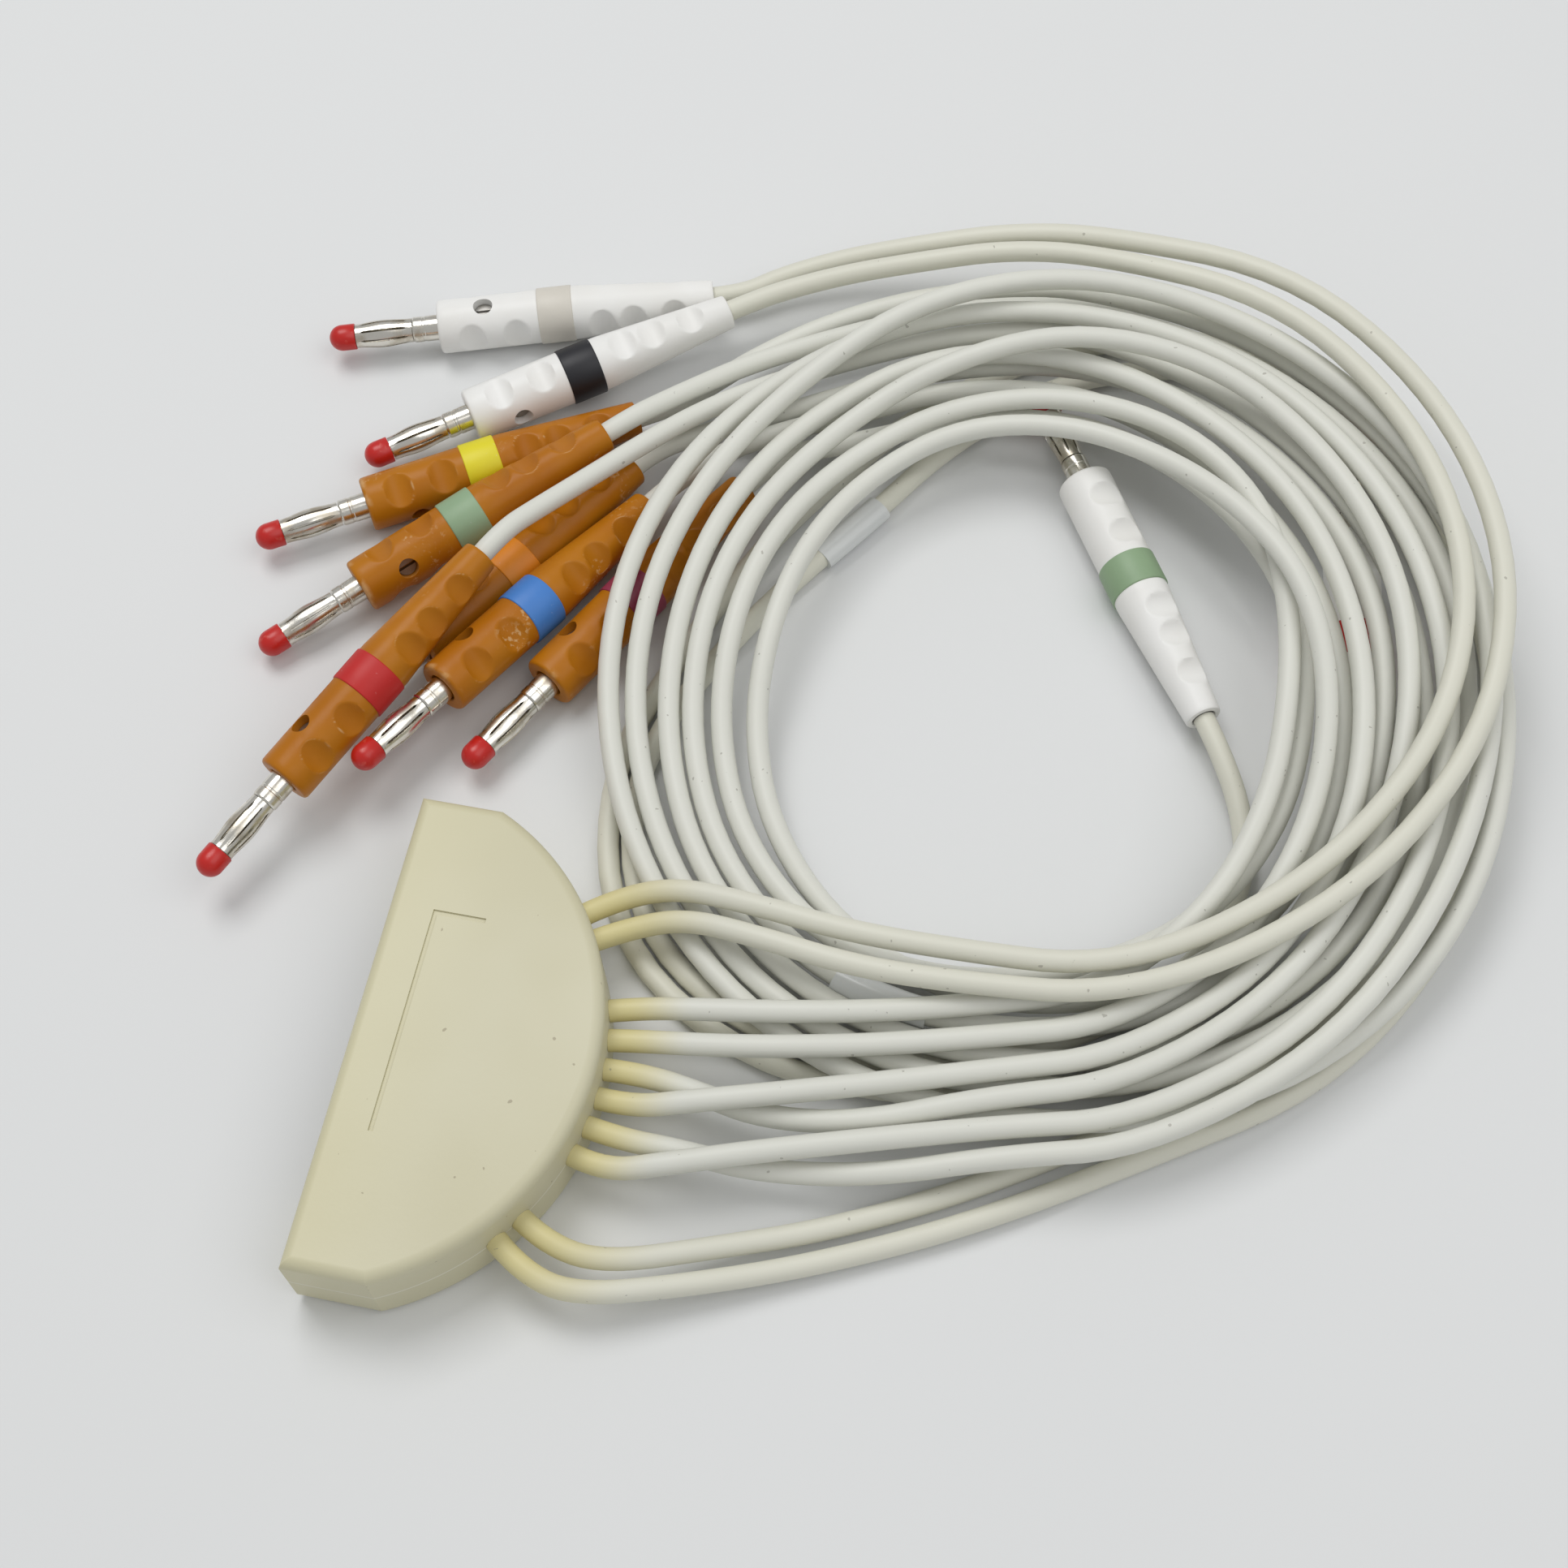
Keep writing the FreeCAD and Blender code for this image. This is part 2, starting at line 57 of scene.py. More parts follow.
# %% [markdown]
# ## The camera
#
# The photograph was taken from above the block's near end. The view could be judged
# by eye at the end, but eye point, aim and lens are matched to it first.

# %% Camera
EYE = Vector((0.07737, -0.10975, 0.3230))
FORWARD = Vector((-0.13042, 0.44295, -0.88701)).normalized()
RIGHT = Vector((0.97747, 0.20722, -0.04024))
LENS = 58.70
SENSOR_WIDTH = 36.0
CLIP_START = 0.01

camera_data = bpy.data.cameras.new("photo_camera")
camera_data.sensor_width = SENSOR_WIDTH
camera_data.lens = LENS
camera_data.clip_start = CLIP_START
camera = new_object("photo_camera", camera_data)
across = (RIGHT - FORWARD * RIGHT.dot(FORWARD)).normalized()
upward = across.cross(FORWARD)
facing = Matrix((across, upward, -FORWARD)).transposed().to_4x4()
camera.matrix_world = Matrix.Translation(EYE) @ facing
bpy.context.scene.camera = camera
print("camera at", [round(value, 4) for value in EYE])

# %% [markdown]
# ## Node helpers
#
# Each finish is built from the same few nodes: a noise for mottling, a ramp that
# turns it into a mask, and a bump. The trees could be drawn by hand in the editor,
# but short helpers keep the finishes readable and alike.

# %% Material helpers
# The mix node keeps sockets for every kind of data. These are the ones for colours.
MIX_SHARE = 0
MIX_FIRST = 6
MIX_SECOND = 7
MIX_RESULT = 2


def new_material(name):
    made = bpy.data.materials.new(name)
    made.use_nodes = True
    return made, made.node_tree


def surface_point(tree):
    return tree.nodes.new("ShaderNodeTexCoord").outputs["Object"]


def noise(tree, where, scale, detail=3.0):
    texture = tree.nodes.new("ShaderNodeTexNoise")
    texture.inputs["Scale"].default_value = scale
    texture.inputs["Detail"].default_value = detail
    tree.links.new(where, texture.inputs["Vector"])
    return texture.outputs["Fac"]


def mask(tree, value, low, high):
    """0 below low, 1 above high, smooth between."""
    span = tree.nodes.new("ShaderNodeMapRange")
    span.interpolation_type = "SMOOTHSTEP"
    span.inputs["From Min"].default_value = low
    span.inputs["From Max"].default_value = high
    tree.links.new(value, span.inputs["Value"])
    return span.outputs["Result"]


def scaled(tree, value, factor):
    product = tree.nodes.new("ShaderNodeMath")
    product.operation = "MULTIPLY"
    product.inputs[1].default_value = factor
    tree.links.new(value, product.inputs[0])
    return product.outputs["Value"]


def both(tree, first, second):
    """The product of two masks: strong only where both are."""
    product = tree.nodes.new("ShaderNodeMath")
    product.operation = "MULTIPLY"
    tree.links.new(first, product.inputs[0])
    tree.links.new(second, product.inputs[1])
    return product.outputs["Value"]


def spots(tree, where, scale, detail, low, high, strength):
    """Small spots: the peaks of a noise, as strong as strength."""
    return scaled(tree, mask(tree, noise(tree, where, scale, detail), low, high), strength)


def blend_colour(tree, share, first, second):
    """A mix of two colours; each is either a colour or an earlier mix's output."""
    mixer = tree.nodes.new("ShaderNodeMix")
    mixer.data_type = "RGBA"
    tree.links.new(share, mixer.inputs[MIX_SHARE])
    for socket, value in ((mixer.inputs[MIX_FIRST], first), (mixer.inputs[MIX_SECOND], second)):
        if isinstance(value, bpy.types.NodeSocket):
            tree.links.new(value, socket)
        else:
            socket.default_value = (*value, 1.0)
    return mixer.outputs[MIX_RESULT]


def darker(colour, share):
    return [share * value for value in colour]


print("helpers ready")

# %% Surface helpers
SHADER = "Principled BSDF"


def finish_surface(tree, colour, rough_share, rough, height, bump):
    """Connects colour, a range of roughness and a bump's strength and depth to the shader."""
    shader = tree.nodes[SHADER]
    tree.links.new(colour, shader.inputs["Base Color"])
    span = tree.nodes.new("ShaderNodeMapRange")
    span.inputs["To Min"].default_value = rough[0]
    span.inputs["To Max"].default_value = rough[1]
    tree.links.new(rough_share, span.inputs["Value"])
    tree.links.new(span.outputs["Result"], shader.inputs["Roughness"])
    relief = tree.nodes.new("ShaderNodeBump")
    relief.inputs["Strength"].default_value = bump[0]
    relief.inputs["Distance"].default_value = bump[1]
    tree.links.new(height, relief.inputs["Height"])
    tree.links.new(relief.outputs["Normal"], shader.inputs["Normal"])
    return shader


def mottled(name, colours, scale, rough, grain, bump, detail=3.0):
    """A plain finish: one noise mixes two colours and varies the gloss."""
    made, tree = new_material(name)
    point = surface_point(tree)
    broad = noise(tree, point, scale, detail)
    colour = blend_colour(tree, broad, *colours)
    finish_surface(tree, colour, broad, rough, noise(tree, point, grain), bump)
    return made


print("surface helpers ready")

# %% [markdown]
# ## Floor and light
#
# The cable lies on a plain pale table under broad, soft light from the upper left.
# A sun lamp would draw hard edges. A large area lamp, a weaker one and an even sky
# give the same shallow shadows under the leads.

# %% Stage
FLOOR_HALF = 3.0
FLOOR_DROP = 0.0001
FLOOR_COLOURS = ((0.735, 0.745, 0.745), (0.775, 0.780, 0.775))
LAMP_AIM = Vector((0.04, 0.06, 0.0))
SKY_COLOUR = (0.98, 0.99, 1.0, 1.0)
SKY_STRENGTH = 0.44

pale_floor = mottled("pale_floor", FLOOR_COLOURS, scale=6.0, rough=(0.55, 0.7), grain=900.0,
                     bump=(0.02, 0.0002))
floor_mesh = bpy.data.meshes.new("floor")
floor_corners = [
    (x * FLOOR_HALF, y * FLOOR_HALF, -FLOOR_DROP) for x, y in ((-1, -1), (1, -1), (1, 1), (-1, 1))
]
floor_mesh.from_pydata(floor_corners, [], [(0, 1, 2, 3)])
floor_mesh.materials.append(pale_floor)
floor = new_object("floor", floor_mesh)


def soft_lamp(name, place, width, power):
    lamp = bpy.data.lights.new(name, "AREA")
    lamp.shape = "SQUARE"
    lamp.size = width
    lamp.energy = power
    holder = new_object(name, lamp)
    holder.location = place
    holder.rotation_euler = (LAMP_AIM - Vector(place)).to_track_quat("-Z", "Y").to_euler()


soft_lamp("key_lamp", place=(-0.30, 0.42, 1.05), width=0.60, power=5.3)
soft_lamp("fill_lamp", place=(0.65, 0.0, 1.0), width=0.9, power=3.2)
world = bpy.data.worlds.new("even_sky")
world.use_nodes = True
sky = world.node_tree.nodes["Background"]
sky.inputs["Color"].default_value = SKY_COLOUR
sky.inputs["Strength"].default_value = SKY_STRENGTH
bpy.context.scene.world = world
bpy.context.scene.view_settings.view_transform = "Standard"
print("floor, two lamps and sky")

# %% [markdown]
# ## Where the plugs lie
#
# Real plugs come to rest at every turn, so the ten differ. Each could be turned as an
# object, but a finished piece keeps its place in its mesh. So a matrix takes every
# plug part from the axis it is drawn on to where its plug lies.

# %% Plug places
# Each row: the middle of the rear face, then heading, climb and the turn about the
# plug's own axis, in degrees.
PLUGS = {
    "LA": ((0.0054, 0.127, 0.0067), -144.5, -2.7, -88),
    "RA": ((0.002, 0.1311, 0.00435), -162.0, 0.0, 0),
    "V6": ((0.0142, 0.0968, 0.00435), -118.5, 0.0, 61),
    "V4": ((0.0009, 0.0907, 0.005), -119.0, 4.7, 60),
    "V5": ((-0.0029, 0.0975, 0.00435), -122.5, 0.0, 100),
    "V1": ((-0.0186, 0.0727, 0.0139), -116.5, -6.2, 30),
    "V3": ((-0.0073, 0.0997, 0.0091), -135.0, -5.8, -54),
    "V2": ((-0.0044, 0.1066, 0.00435), -148.0, 0.0, -105),
    "RL": ((0.0867, 0.0707, 0.00435), 122.0, 0.0, 100),
    "LL": ((0.11, 0.0615, 0.00435), 98.5, 0.0, 100),
}

LIMBS = ("LA", "RA", "RL", "LL")


def plug_way(name):
    """The direction from a plug's rear face to its tip."""
    heading, climb = [math.radians(value) for value in PLUGS[name][1:3]]
    flat = math.cos(climb)
    return Vector((flat * math.cos(heading), flat * math.sin(heading), math.sin(climb)))


def plug_matrix(name):
    """Takes a plug drawn along Z, rear face at zero, to where it lies."""
    rear, *_, roll = PLUGS[name]
    way = plug_way(name)
    upright = (UP - way * way.z).normalized()
    turn = Matrix((upright, way.cross(upright), way)).transposed()
    return Matrix.Translation(rear) @ (turn @ Matrix.Rotation(math.radians(roll), 3, "Z")).to_4x4()


print("plugs", len(PLUGS))

# %% [markdown]
# ## The loose coil
#
# A cable set is stored by laying all leads round the hand together, so the strands
# run side by side in a ring that widens on one side. A rope simulation could lay them,
# but not in the order that the photograph shows. Here a rule gives the ring's hole and
# width by the bearing. Laps lie on one another in layers, and the strands climb in
# long low humps over the plugs beneath them.

# %% Coil shape
COIL_CENTRE = Vector((0.060, 0.071, 0.0))
LEAD_DIAMETER = 0.0031
FLOOR_GAP = 0.00005
REST = LEAD_DIAMETER / 2 + FLOOR_GAP
LAYER = 0.0036
COIL_STEP = 22.5
HOLE_RADIUS = 0.0425
HOLE_EAST = 0.0032
HOLE_NORTH = 0.0035
HOLE_OVAL = 0.0032
RING_WIDTH = 0.0232
RING_EAST = 0.0050
RING_NORTH = 0.0030
# Where strands climb over plugs: middle and half width in degrees, and height.
CLIMBS = ((18, 80, 0.0062), (92, 60, 0.0036), (168, 44, 0.0026))


def ease(value, low, high):
    """Goes smoothly from 0 at low to 1 at high."""
    share = min(max((value - low) / (high - low), 0), 1)
    return share * share * (3 - 2 * share)


def swell(off, half_width, size):
    """A long low hump: its whole size in the middle, 0 from half_width on."""
    return size * math.cos(math.radians(90 * off / half_width)) ** 2 if off < half_width else 0


def hump(bearing, middle, half_width, size):
    """A hump that every lap meets."""
    return swell(abs((bearing - middle + 180) % 360 - 180), half_width, size)


def hop(bearing, middle, half_width, size):
    """A hump on one lap."""
    return swell(abs(bearing - middle), half_width, size)


def rise(bearing):
    return sum(hump(bearing, *climb) for climb in CLIMBS)


def hole_radius(angle):
    shifted = HOLE_RADIUS - HOLE_EAST * math.cos(angle) - HOLE_NORTH * math.sin(angle)
    return shifted - HOLE_OVAL * math.cos(2 * angle)


def ring_width(angle):
    return RING_WIDTH + RING_EAST * math.cos(angle) + RING_NORTH * math.sin(angle)


def on_ring(bearing, slot, layer, lift, shift):
    """A point of the ring: slot 0 is its inner edge and slot 1 its outer edge."""
    angle = math.radians(bearing)
    radius = hole_radius(angle) + slot * ring_width(angle) + shift
    height = REST + LAYER * layer + lift * rise(bearing)
    return COIL_CENTRE + Vector((radius * math.cos(angle), radius * math.sin(angle), height))


print("coil centre", [round(value, 3) for value in COIL_CENTRE])

# %% [markdown]
# ## Strands on the ring
#
# Loose leads are never quite parallel. Six chest leads share the ring, and neighbours
# change places and hop over one another. The arm leads cross over the top, and the leg
# leads lie lowest. One shared rule with a small change for each lead keeps them apart
# and is easier to steer than points set one by one.

# %% Chest strands
# Six leads leave five gaps, each a fifth of the ring's width.
PITCHES = 5
PITCH = 1 / PITCHES
CLOSEST = 0.0036
CHEST_LAYER = 2
SWAY = 0.004
SWAY_START = 20
SPREAD = 0.008
SPREAD_START = 200
# Stretches of bearing, in degrees, over which something comes or goes.
SINKING = (150, 235)
SPREADING = (270, 345)
CLOSING = (392, 428)
CHANGING = (5, 65)
CHANGING_BACK = (236, 298)
INNER_PARTING = (65, 125)
OUTER_PARTING = (85, 145)


def chest_strand(slot, bearing, across_by=0.0, lift_by=0.0):
    """Six chest leads side by side; neighbours draw together in pairs and part again."""
    pitch = ring_width(math.radians(bearing)) / PITCHES
    room = max(pitch - CLOSEST, 0)
    waver = 0.5 * room * math.sin(math.radians(2 * bearing) + PITCHES * math.pi * slot)
    sway = SWAY * math.sin(math.radians(bearing / 2 - SWAY_START))
    apart = 0.5 * pitch + SPREAD * math.sin(math.radians(SPREAD_START - bearing / 2))
    between = apart * ease(bearing, *SPREADING) * (1 - ease(bearing, *CLOSING))
    layer = CHEST_LAYER - ease(bearing, *SINKING)
    place = on_ring(bearing, slot + across_by, layer, 1, waver - sway + between)
    return place + Vector((0, 0, lift_by))


def changed_places(bearing):
    """1 where V6 and V4 have changed places, 0 where they keep their own."""
    return ease(bearing, *CHANGING) * (1 - ease(bearing, *CHANGING_BACK))


def v6_strand(slot, bearing):
    across_by = PITCH * changed_places(bearing) - hop(bearing, middle=190, half_width=75, size=0.04)
    return chest_strand(slot, bearing, across_by)


def v4_strand(slot, bearing):
    across_by = -PITCH * changed_places(bearing) - hop(bearing, middle=185, half_width=80, size=0.15)
    over = hop(bearing, middle=35, half_width=55, size=0.0050)
    under = hop(bearing, middle=266, half_width=42, size=0.0037)
    return chest_strand(slot, bearing, across_by, over - under)


def v5_strand(slot, bearing):
    across_by = PITCH * (1 - ease(bearing, *INNER_PARTING))
    return chest_strand(slot, bearing, across_by, hop(bearing, middle=95, half_width=58, size=0.0050))


def v1_strand(slot, bearing):
    across_by = -PITCH * (1 - ease(bearing, *INNER_PARTING))
    return chest_strand(slot, bearing, across_by - hop(bearing, middle=12, half_width=45, size=0.018))


def v3_strand(slot, bearing):
    outward = hop(bearing, middle=180, half_width=60, size=0.09)
    across_by = PITCH * (1 - ease(bearing, *OUTER_PARTING)) + outward
    return chest_strand(slot, bearing, across_by, hop(bearing, middle=115, half_width=55, size=0.0050))


def v2_strand(slot, bearing):
    outward = hop(bearing, middle=180, half_width=56, size=0.12)
    across_by = outward - PITCH * (1 - ease(bearing, *OUTER_PARTING))
    return chest_strand(slot, bearing, across_by, hop(bearing, middle=180, half_width=50, size=0.0007))


print("pitch on the right in mm", round(ring_width(0) / PITCHES / MM, 2))

# %% Arm and leg strands
ARM_LAYER = 3
ARM_CLOSE = 0.9
ARM_PARTING = 0.1
ARM_ACROSS = 0.98
ARM_OUTWARD = 0.13
LEG_EDGE = 0.96
LEG_OUTWARD = 0.20
LEG_INWARD = 1.2
LEG_BACK = 1.05
LEG_HOME = 0.7
RL_INWARD = 0.20


def arm_strand(slot, bearing):
    """The two arm leads start inside and cross over the ring to its outer edge."""
    spacing = ARM_CLOSE + ARM_PARTING * ease(bearing, -60, 0)
    across_ring = slot * spacing + ARM_ACROSS * ease(bearing, -85, 30)
    return on_ring(bearing, across_ring + ARM_OUTWARD * ease(bearing, 25, 65), ARM_LAYER, 1, 0)


def leg_strand(slot, bearing):
    """The two leg leads lie on the table and pass in and out under the others."""
    inward = LEG_INWARD * ease(bearing, 50, 140) - LEG_BACK * ease(bearing, 165, 225)
    edge = LEG_EDGE + LEG_OUTWARD * ease(bearing, 20, 80)
    home = LEG_HOME * ease(bearing, 225, 290)
    return on_ring(bearing, edge + slot - inward - home, 0, 0, 0)


def rl_strand(slot, bearing):
    """The right leg lead comes into view inside the ring on the left."""
    return leg_strand(slot - hop(bearing, middle=140, half_width=75, size=RL_INWARD), bearing)


print("arm leads at", round((REST + LAYER * ARM_LAYER) / MM, 2), "mm over the table")

# %% [markdown]
# ## The ten leads
#
# Each lead leaves the curved wall square to it, joins the ring, and leaves it for its
# own plug. Points off the ring are given one by one. One smooth spline per lead passes
# near them all, the way a limp jacketed wire lies. The tube is the curve's own bevel,
# made a mesh, and the same curve without a bevel gives the lead's middle line.

# %% Lead routes
# Each row: strand, slot, first and last bearing on the ring, the points from the block
# to the ring, and the points from the ring to the plug.
LEADS = {
    "LA": (arm_strand, 0.0, -67.5, 67.5,
           [(0.02, 0.0286, 0.0095), (0.0305, 0.0274, 0.0115), (0.0445, 0.0254, 0.0124),
            (0.059, 0.0254, 0.0126)],
           [(0.0600, 0.1430, 0.0128), (0.0460, 0.1424, 0.0116), (0.0335, 0.1392, 0.0100),
            (0.0225, 0.1362, 0.0083), (0.0136, 0.1324, 0.0072)]),
    "RA": (arm_strand, 0.2, -67.5, 67.5,
           [(0.0226, 0.0244, 0.0094), (0.033, 0.0227, 0.0116), (0.0465, 0.0206, 0.0124),
            (0.0605, 0.0209, 0.0126)],
           [(0.0600, 0.1470, 0.0126), (0.0460, 0.1466, 0.0106), (0.0330, 0.1438, 0.0084),
            (0.0210, 0.1406, 0.0063), (0.0114, 0.1362, 0.0049)]),
    "V6": (v6_strand, 0.0, -67.5, 472.5,
           [(0.0275, 0.0125, 0.008), (0.037, 0.0136, 0.009), (0.05, 0.0162, 0.009),
            (0.064, 0.02, 0.0089)],
           [(0.0345, 0.1092, 0.0064), (0.027, 0.1065, 0.0052), (0.0206, 0.1046, 0.0046)]),
    "V4": (v4_strand, 0.2, -67.5, 472.5,
           [(0.0285, 0.0076, 0.0079), (0.038, 0.0088, 0.0089), (0.051, 0.0116, 0.0089),
            (0.065, 0.0155, 0.0089)],
           [(0.03, 0.1126, 0.0064), (0.02, 0.1086, 0.0052), (0.012, 0.104, 0.0049),
            (0.0074, 0.0998, 0.0048)]),
    "V5": (v5_strand, 0.4, -67.5, 472.5,
           [(0.0285, 0.0018, 0.0060), (0.0380, 0.0000, 0.0054), (0.0510, 0.0012, 0.0070),
            (0.0665, 0.0070, 0.0092)],
           [(0.0275, 0.116, 0.006), (0.0165, 0.1108, 0.0045), (0.008, 0.1066, 0.00435)]),
    "V1": (v1_strand, 0.6, -67.5, 427.5,
           [(0.0285, -0.0008, 0.0088), (0.0390, 0.0022, 0.0092), (0.0530, 0.0066, 0.0090),
            (0.0670, 0.0112, 0.0088)],
           [(0.06, 0.131, 0.009), (0.0465, 0.1294, 0.0082), (0.034, 0.1254, 0.007),
            (0.022, 0.1196, 0.0062), (0.0118, 0.1128, 0.0068),
            (0.0048, 0.106, 0.0082), (-0.0012, 0.0986, 0.0096), (-0.0072, 0.0906, 0.011),
            (-0.013, 0.0824, 0.013)]),
    "V3": (v3_strand, 0.8, -67.5, 427.5,
           [(0.0285, -0.0066, 0.0060), (0.0390, -0.0072, 0.0051), (0.0540, -0.0050, 0.0056),
            (0.0705, 0.0000, 0.0084)],
           [(0.06, 0.1356, 0.009), (0.046, 0.134, 0.0084), (0.033, 0.13, 0.0071),
            (0.021, 0.1243, 0.0064), (0.0108, 0.1176, 0.007),
            (0.0042, 0.1114, 0.0081), (-0.0002, 0.1069, 0.009)]),
    "V2": (v2_strand, 1.0, -67.5, 427.5,
           [(0.0275, -0.0096, 0.0086), (0.0390, -0.0058, 0.0092), (0.0540, -0.0010, 0.0089),
            (0.0695, 0.0038, 0.0087)],
           [(0.06, 0.1398, 0.0086), (0.046, 0.1382, 0.0074), (0.033, 0.1349, 0.006),
            (0.021, 0.129, 0.0049), (0.011, 0.1209, 0.0045),
            (0.0036, 0.1126, 0.00435)]),
    "RL": (rl_strand, 0.0, -45, 270,
           [(0.0225, -0.0232, 0.0060), (0.0350, -0.0180, 0.0036), (0.0495, -0.0120, 0.0018),
            (0.0670, -0.0028, 0.0016), (0.0870, 0.0106, 0.0016)],
           [(0.073, 0.0186, 0.0016), (0.0825, 0.025, 0.0016), (0.0895, 0.0325, 0.0016),
            (0.094, 0.041, 0.0016), (0.0956, 0.05, 0.0019),
            (0.0936, 0.0586, 0.0028)]),
    "LL": (leg_strand, 0.20, -45, 270,
           [(0.0195, -0.0282, 0.0062), (0.0325, -0.0236, 0.0038), (0.0480, -0.0172, 0.0018),
            (0.0675, -0.0076, 0.0016), (0.0884, 0.0058, 0.0016)],
           [(0.073, 0.012, 0.0016), (0.085, 0.0166, 0.0016), (0.0955, 0.0238, 0.0016),
            (0.104, 0.0325, 0.0016), (0.1095, 0.0415, 0.0019),
            (0.1112, 0.0488, 0.0028)]),
}
print("routes", len(LEADS))

# %% Lead exits
FRONT_RADIUS = 0.0372
FRONT_CENTRE = -0.0207
EXIT_HEIGHT = 0.0070
STRAIGHT = 0.005
EXIT_ACROSS = {
    "LA": 0.0233, "RA": 0.0199, "V6": 0.01025, "V4": 0.00615, "V5": 0.00205,
    "V1": -0.00205, "V3": -0.00615, "V2": -0.01025, "RL": -0.0199, "LL": -0.0233,
}


def lead_exit(name):
    """The point where a lead leaves the wall, and the way it leaves."""
    side = EXIT_ACROSS[name]
    reach = math.sqrt(FRONT_RADIUS ** 2 - side ** 2)
    return Vector((FRONT_CENTRE + reach, side, EXIT_HEIGHT)), Vector((reach, side, 0)).normalized()


def lead_points(name):
    strand, slot, first, last, lead_in, lead_out = LEADS[name]
    out, way = lead_exit(name)
    rear = Vector(PLUGS[name][0])
    turns = int(round((last - first) / COIL_STEP))
    points = [out, out + way * STRAIGHT] + [Vector(spot) for spot in lead_in]
    points += [strand(slot, first + COIL_STEP * step) for step in range(turns + 1)]
    return points + [Vector(spot) for spot in lead_out] + [rear - plug_way(name) * STRAIGHT, rear]


print("exits", len(EXIT_ACROSS))

# %% Lead tubes
SPLINE_ORDER = 3
SPLINE_STEPS = 6
BEVEL_STEPS = 5


def lead_curve(name, bevel):
    curve = bpy.data.curves.new("lead_" + name, "CURVE")
    curve.dimensions = "3D"
    curve.resolution_u = SPLINE_STEPS
    curve.bevel_depth = bevel
    curve.bevel_resolution = BEVEL_STEPS
    curve.use_fill_caps = bevel > 0
    spline = curve.splines.new("NURBS")
    points = lead_points(name)
    spline.points.add(len(points) - 1)
    for control, point in zip(spline.points, points):
        control.co = (*point, 1.0)
    spline.order_u = SPLINE_ORDER
    spline.use_endpoint_u = True
    return curve


def drawn_mesh(holder):
    """The plain mesh that an object draws. The object itself is removed."""
    bpy.context.view_layer.update()
    drawn = holder.evaluated_get(bpy.context.evaluated_depsgraph_get())
    mesh = bpy.data.meshes.new_from_object(drawn)
    bpy.data.objects.remove(holder)
    return mesh


leads = {}
paths = {}
for name in LEADS:
    line = drawn_mesh(new_object("path", lead_curve(name, 0)))
    paths[name] = [vertex.co.copy() for vertex in line.vertices]
    tube = drawn_mesh(new_object("tube", lead_curve(name, LEAD_DIAMETER / 2)))
    tube.shade_smooth()
    lead = new_object("cord_" + name, tube)
    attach(lead, "cable")
    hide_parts("lead_" + name)
    leads[name] = lead
print("leads", len(leads))

# %% [markdown]
# ## Lead jackets
#
# The jackets are soft grey-white vinyl that has yellowed where warm hands hold it,
# most of all just outside the block. The arm and leg leads are the yellower ones.
# Age shows as broad mottling, small dark specks and a slight unevenness of gloss.
# A painted image could hold all that, but noise needs no file and no seams.

# %% Jacket finish
PALE = (0.750, 0.750, 0.680)
IVORY = (0.745, 0.735, 0.630)
TAN = (0.680, 0.610, 0.310)
JACKET_SPECK = (0.23, 0.21, 0.17)
LIMB_YELLOWED = 0.019
CHEST_YELLOWED = 0.012


def distance_from(tree, point, place):
    gap = tree.nodes.new("ShaderNodeVectorMath")
    gap.operation = "DISTANCE"
    gap.inputs[1].default_value = place
    tree.links.new(point, gap.inputs[0])
    return gap.outputs["Value"]


def jacket(name, plain, reach):
    """Vinyl that is yellowed from the block's wall to reach."""
    made, tree = new_material("jacket_" + name)
    point = surface_point(tree)
    broad = noise(tree, point, scale=38.0)
    colour = blend_colour(tree, broad, plain, darker(plain, 0.93))
    from_wall = distance_from(tree, point, lead_exit(name)[0])
    colour = blend_colour(tree, mask(tree, from_wall, low=reach, high=0.2 * reach), colour, TAN)
    specks = spots(tree, point, scale=900.0, detail=1.0, low=0.765, high=0.795, strength=0.5)
    colour = blend_colour(tree, specks, colour, JACKET_SPECK)
    ripple = noise(tree, point, scale=450.0)
    finish_surface(tree, colour, broad, rough=(0.42, 0.56), height=ripple, bump=(0.12, 0.0003))
    return made


for name, lead in leads.items():
    if name in LIMBS:
        lead.data.materials.append(jacket(name, IVORY, LIMB_YELLOWED))
    else:
        lead.data.materials.append(jacket(name, PALE, CHEST_YELLOWED))
print("jackets", len(leads))

# %% [markdown]
# ## Turned forms
#
# Grips, pins, bands and tips are all turned or moulded round an axis. The Screw
# modifier could sweep them, but a short routine that sweeps a profile of radius and
# height round Z also closes the poles and leaves no seam.

# %% Lathe
SHARP_CREASE = 40
SOFT_CREASE = 50


def turned(radius, angle, height):
    """A point at a radius and an angle round Z."""
    return radius * math.cos(angle), radius * math.sin(angle), height


def built_mesh(name, builder):
    mesh = bpy.data.meshes.new(name)
    builder.to_mesh(mesh)
    builder.free()
    return mesh


def in_metres(profile):
    return [(radius * MM, height * MM) for radius, height in profile]


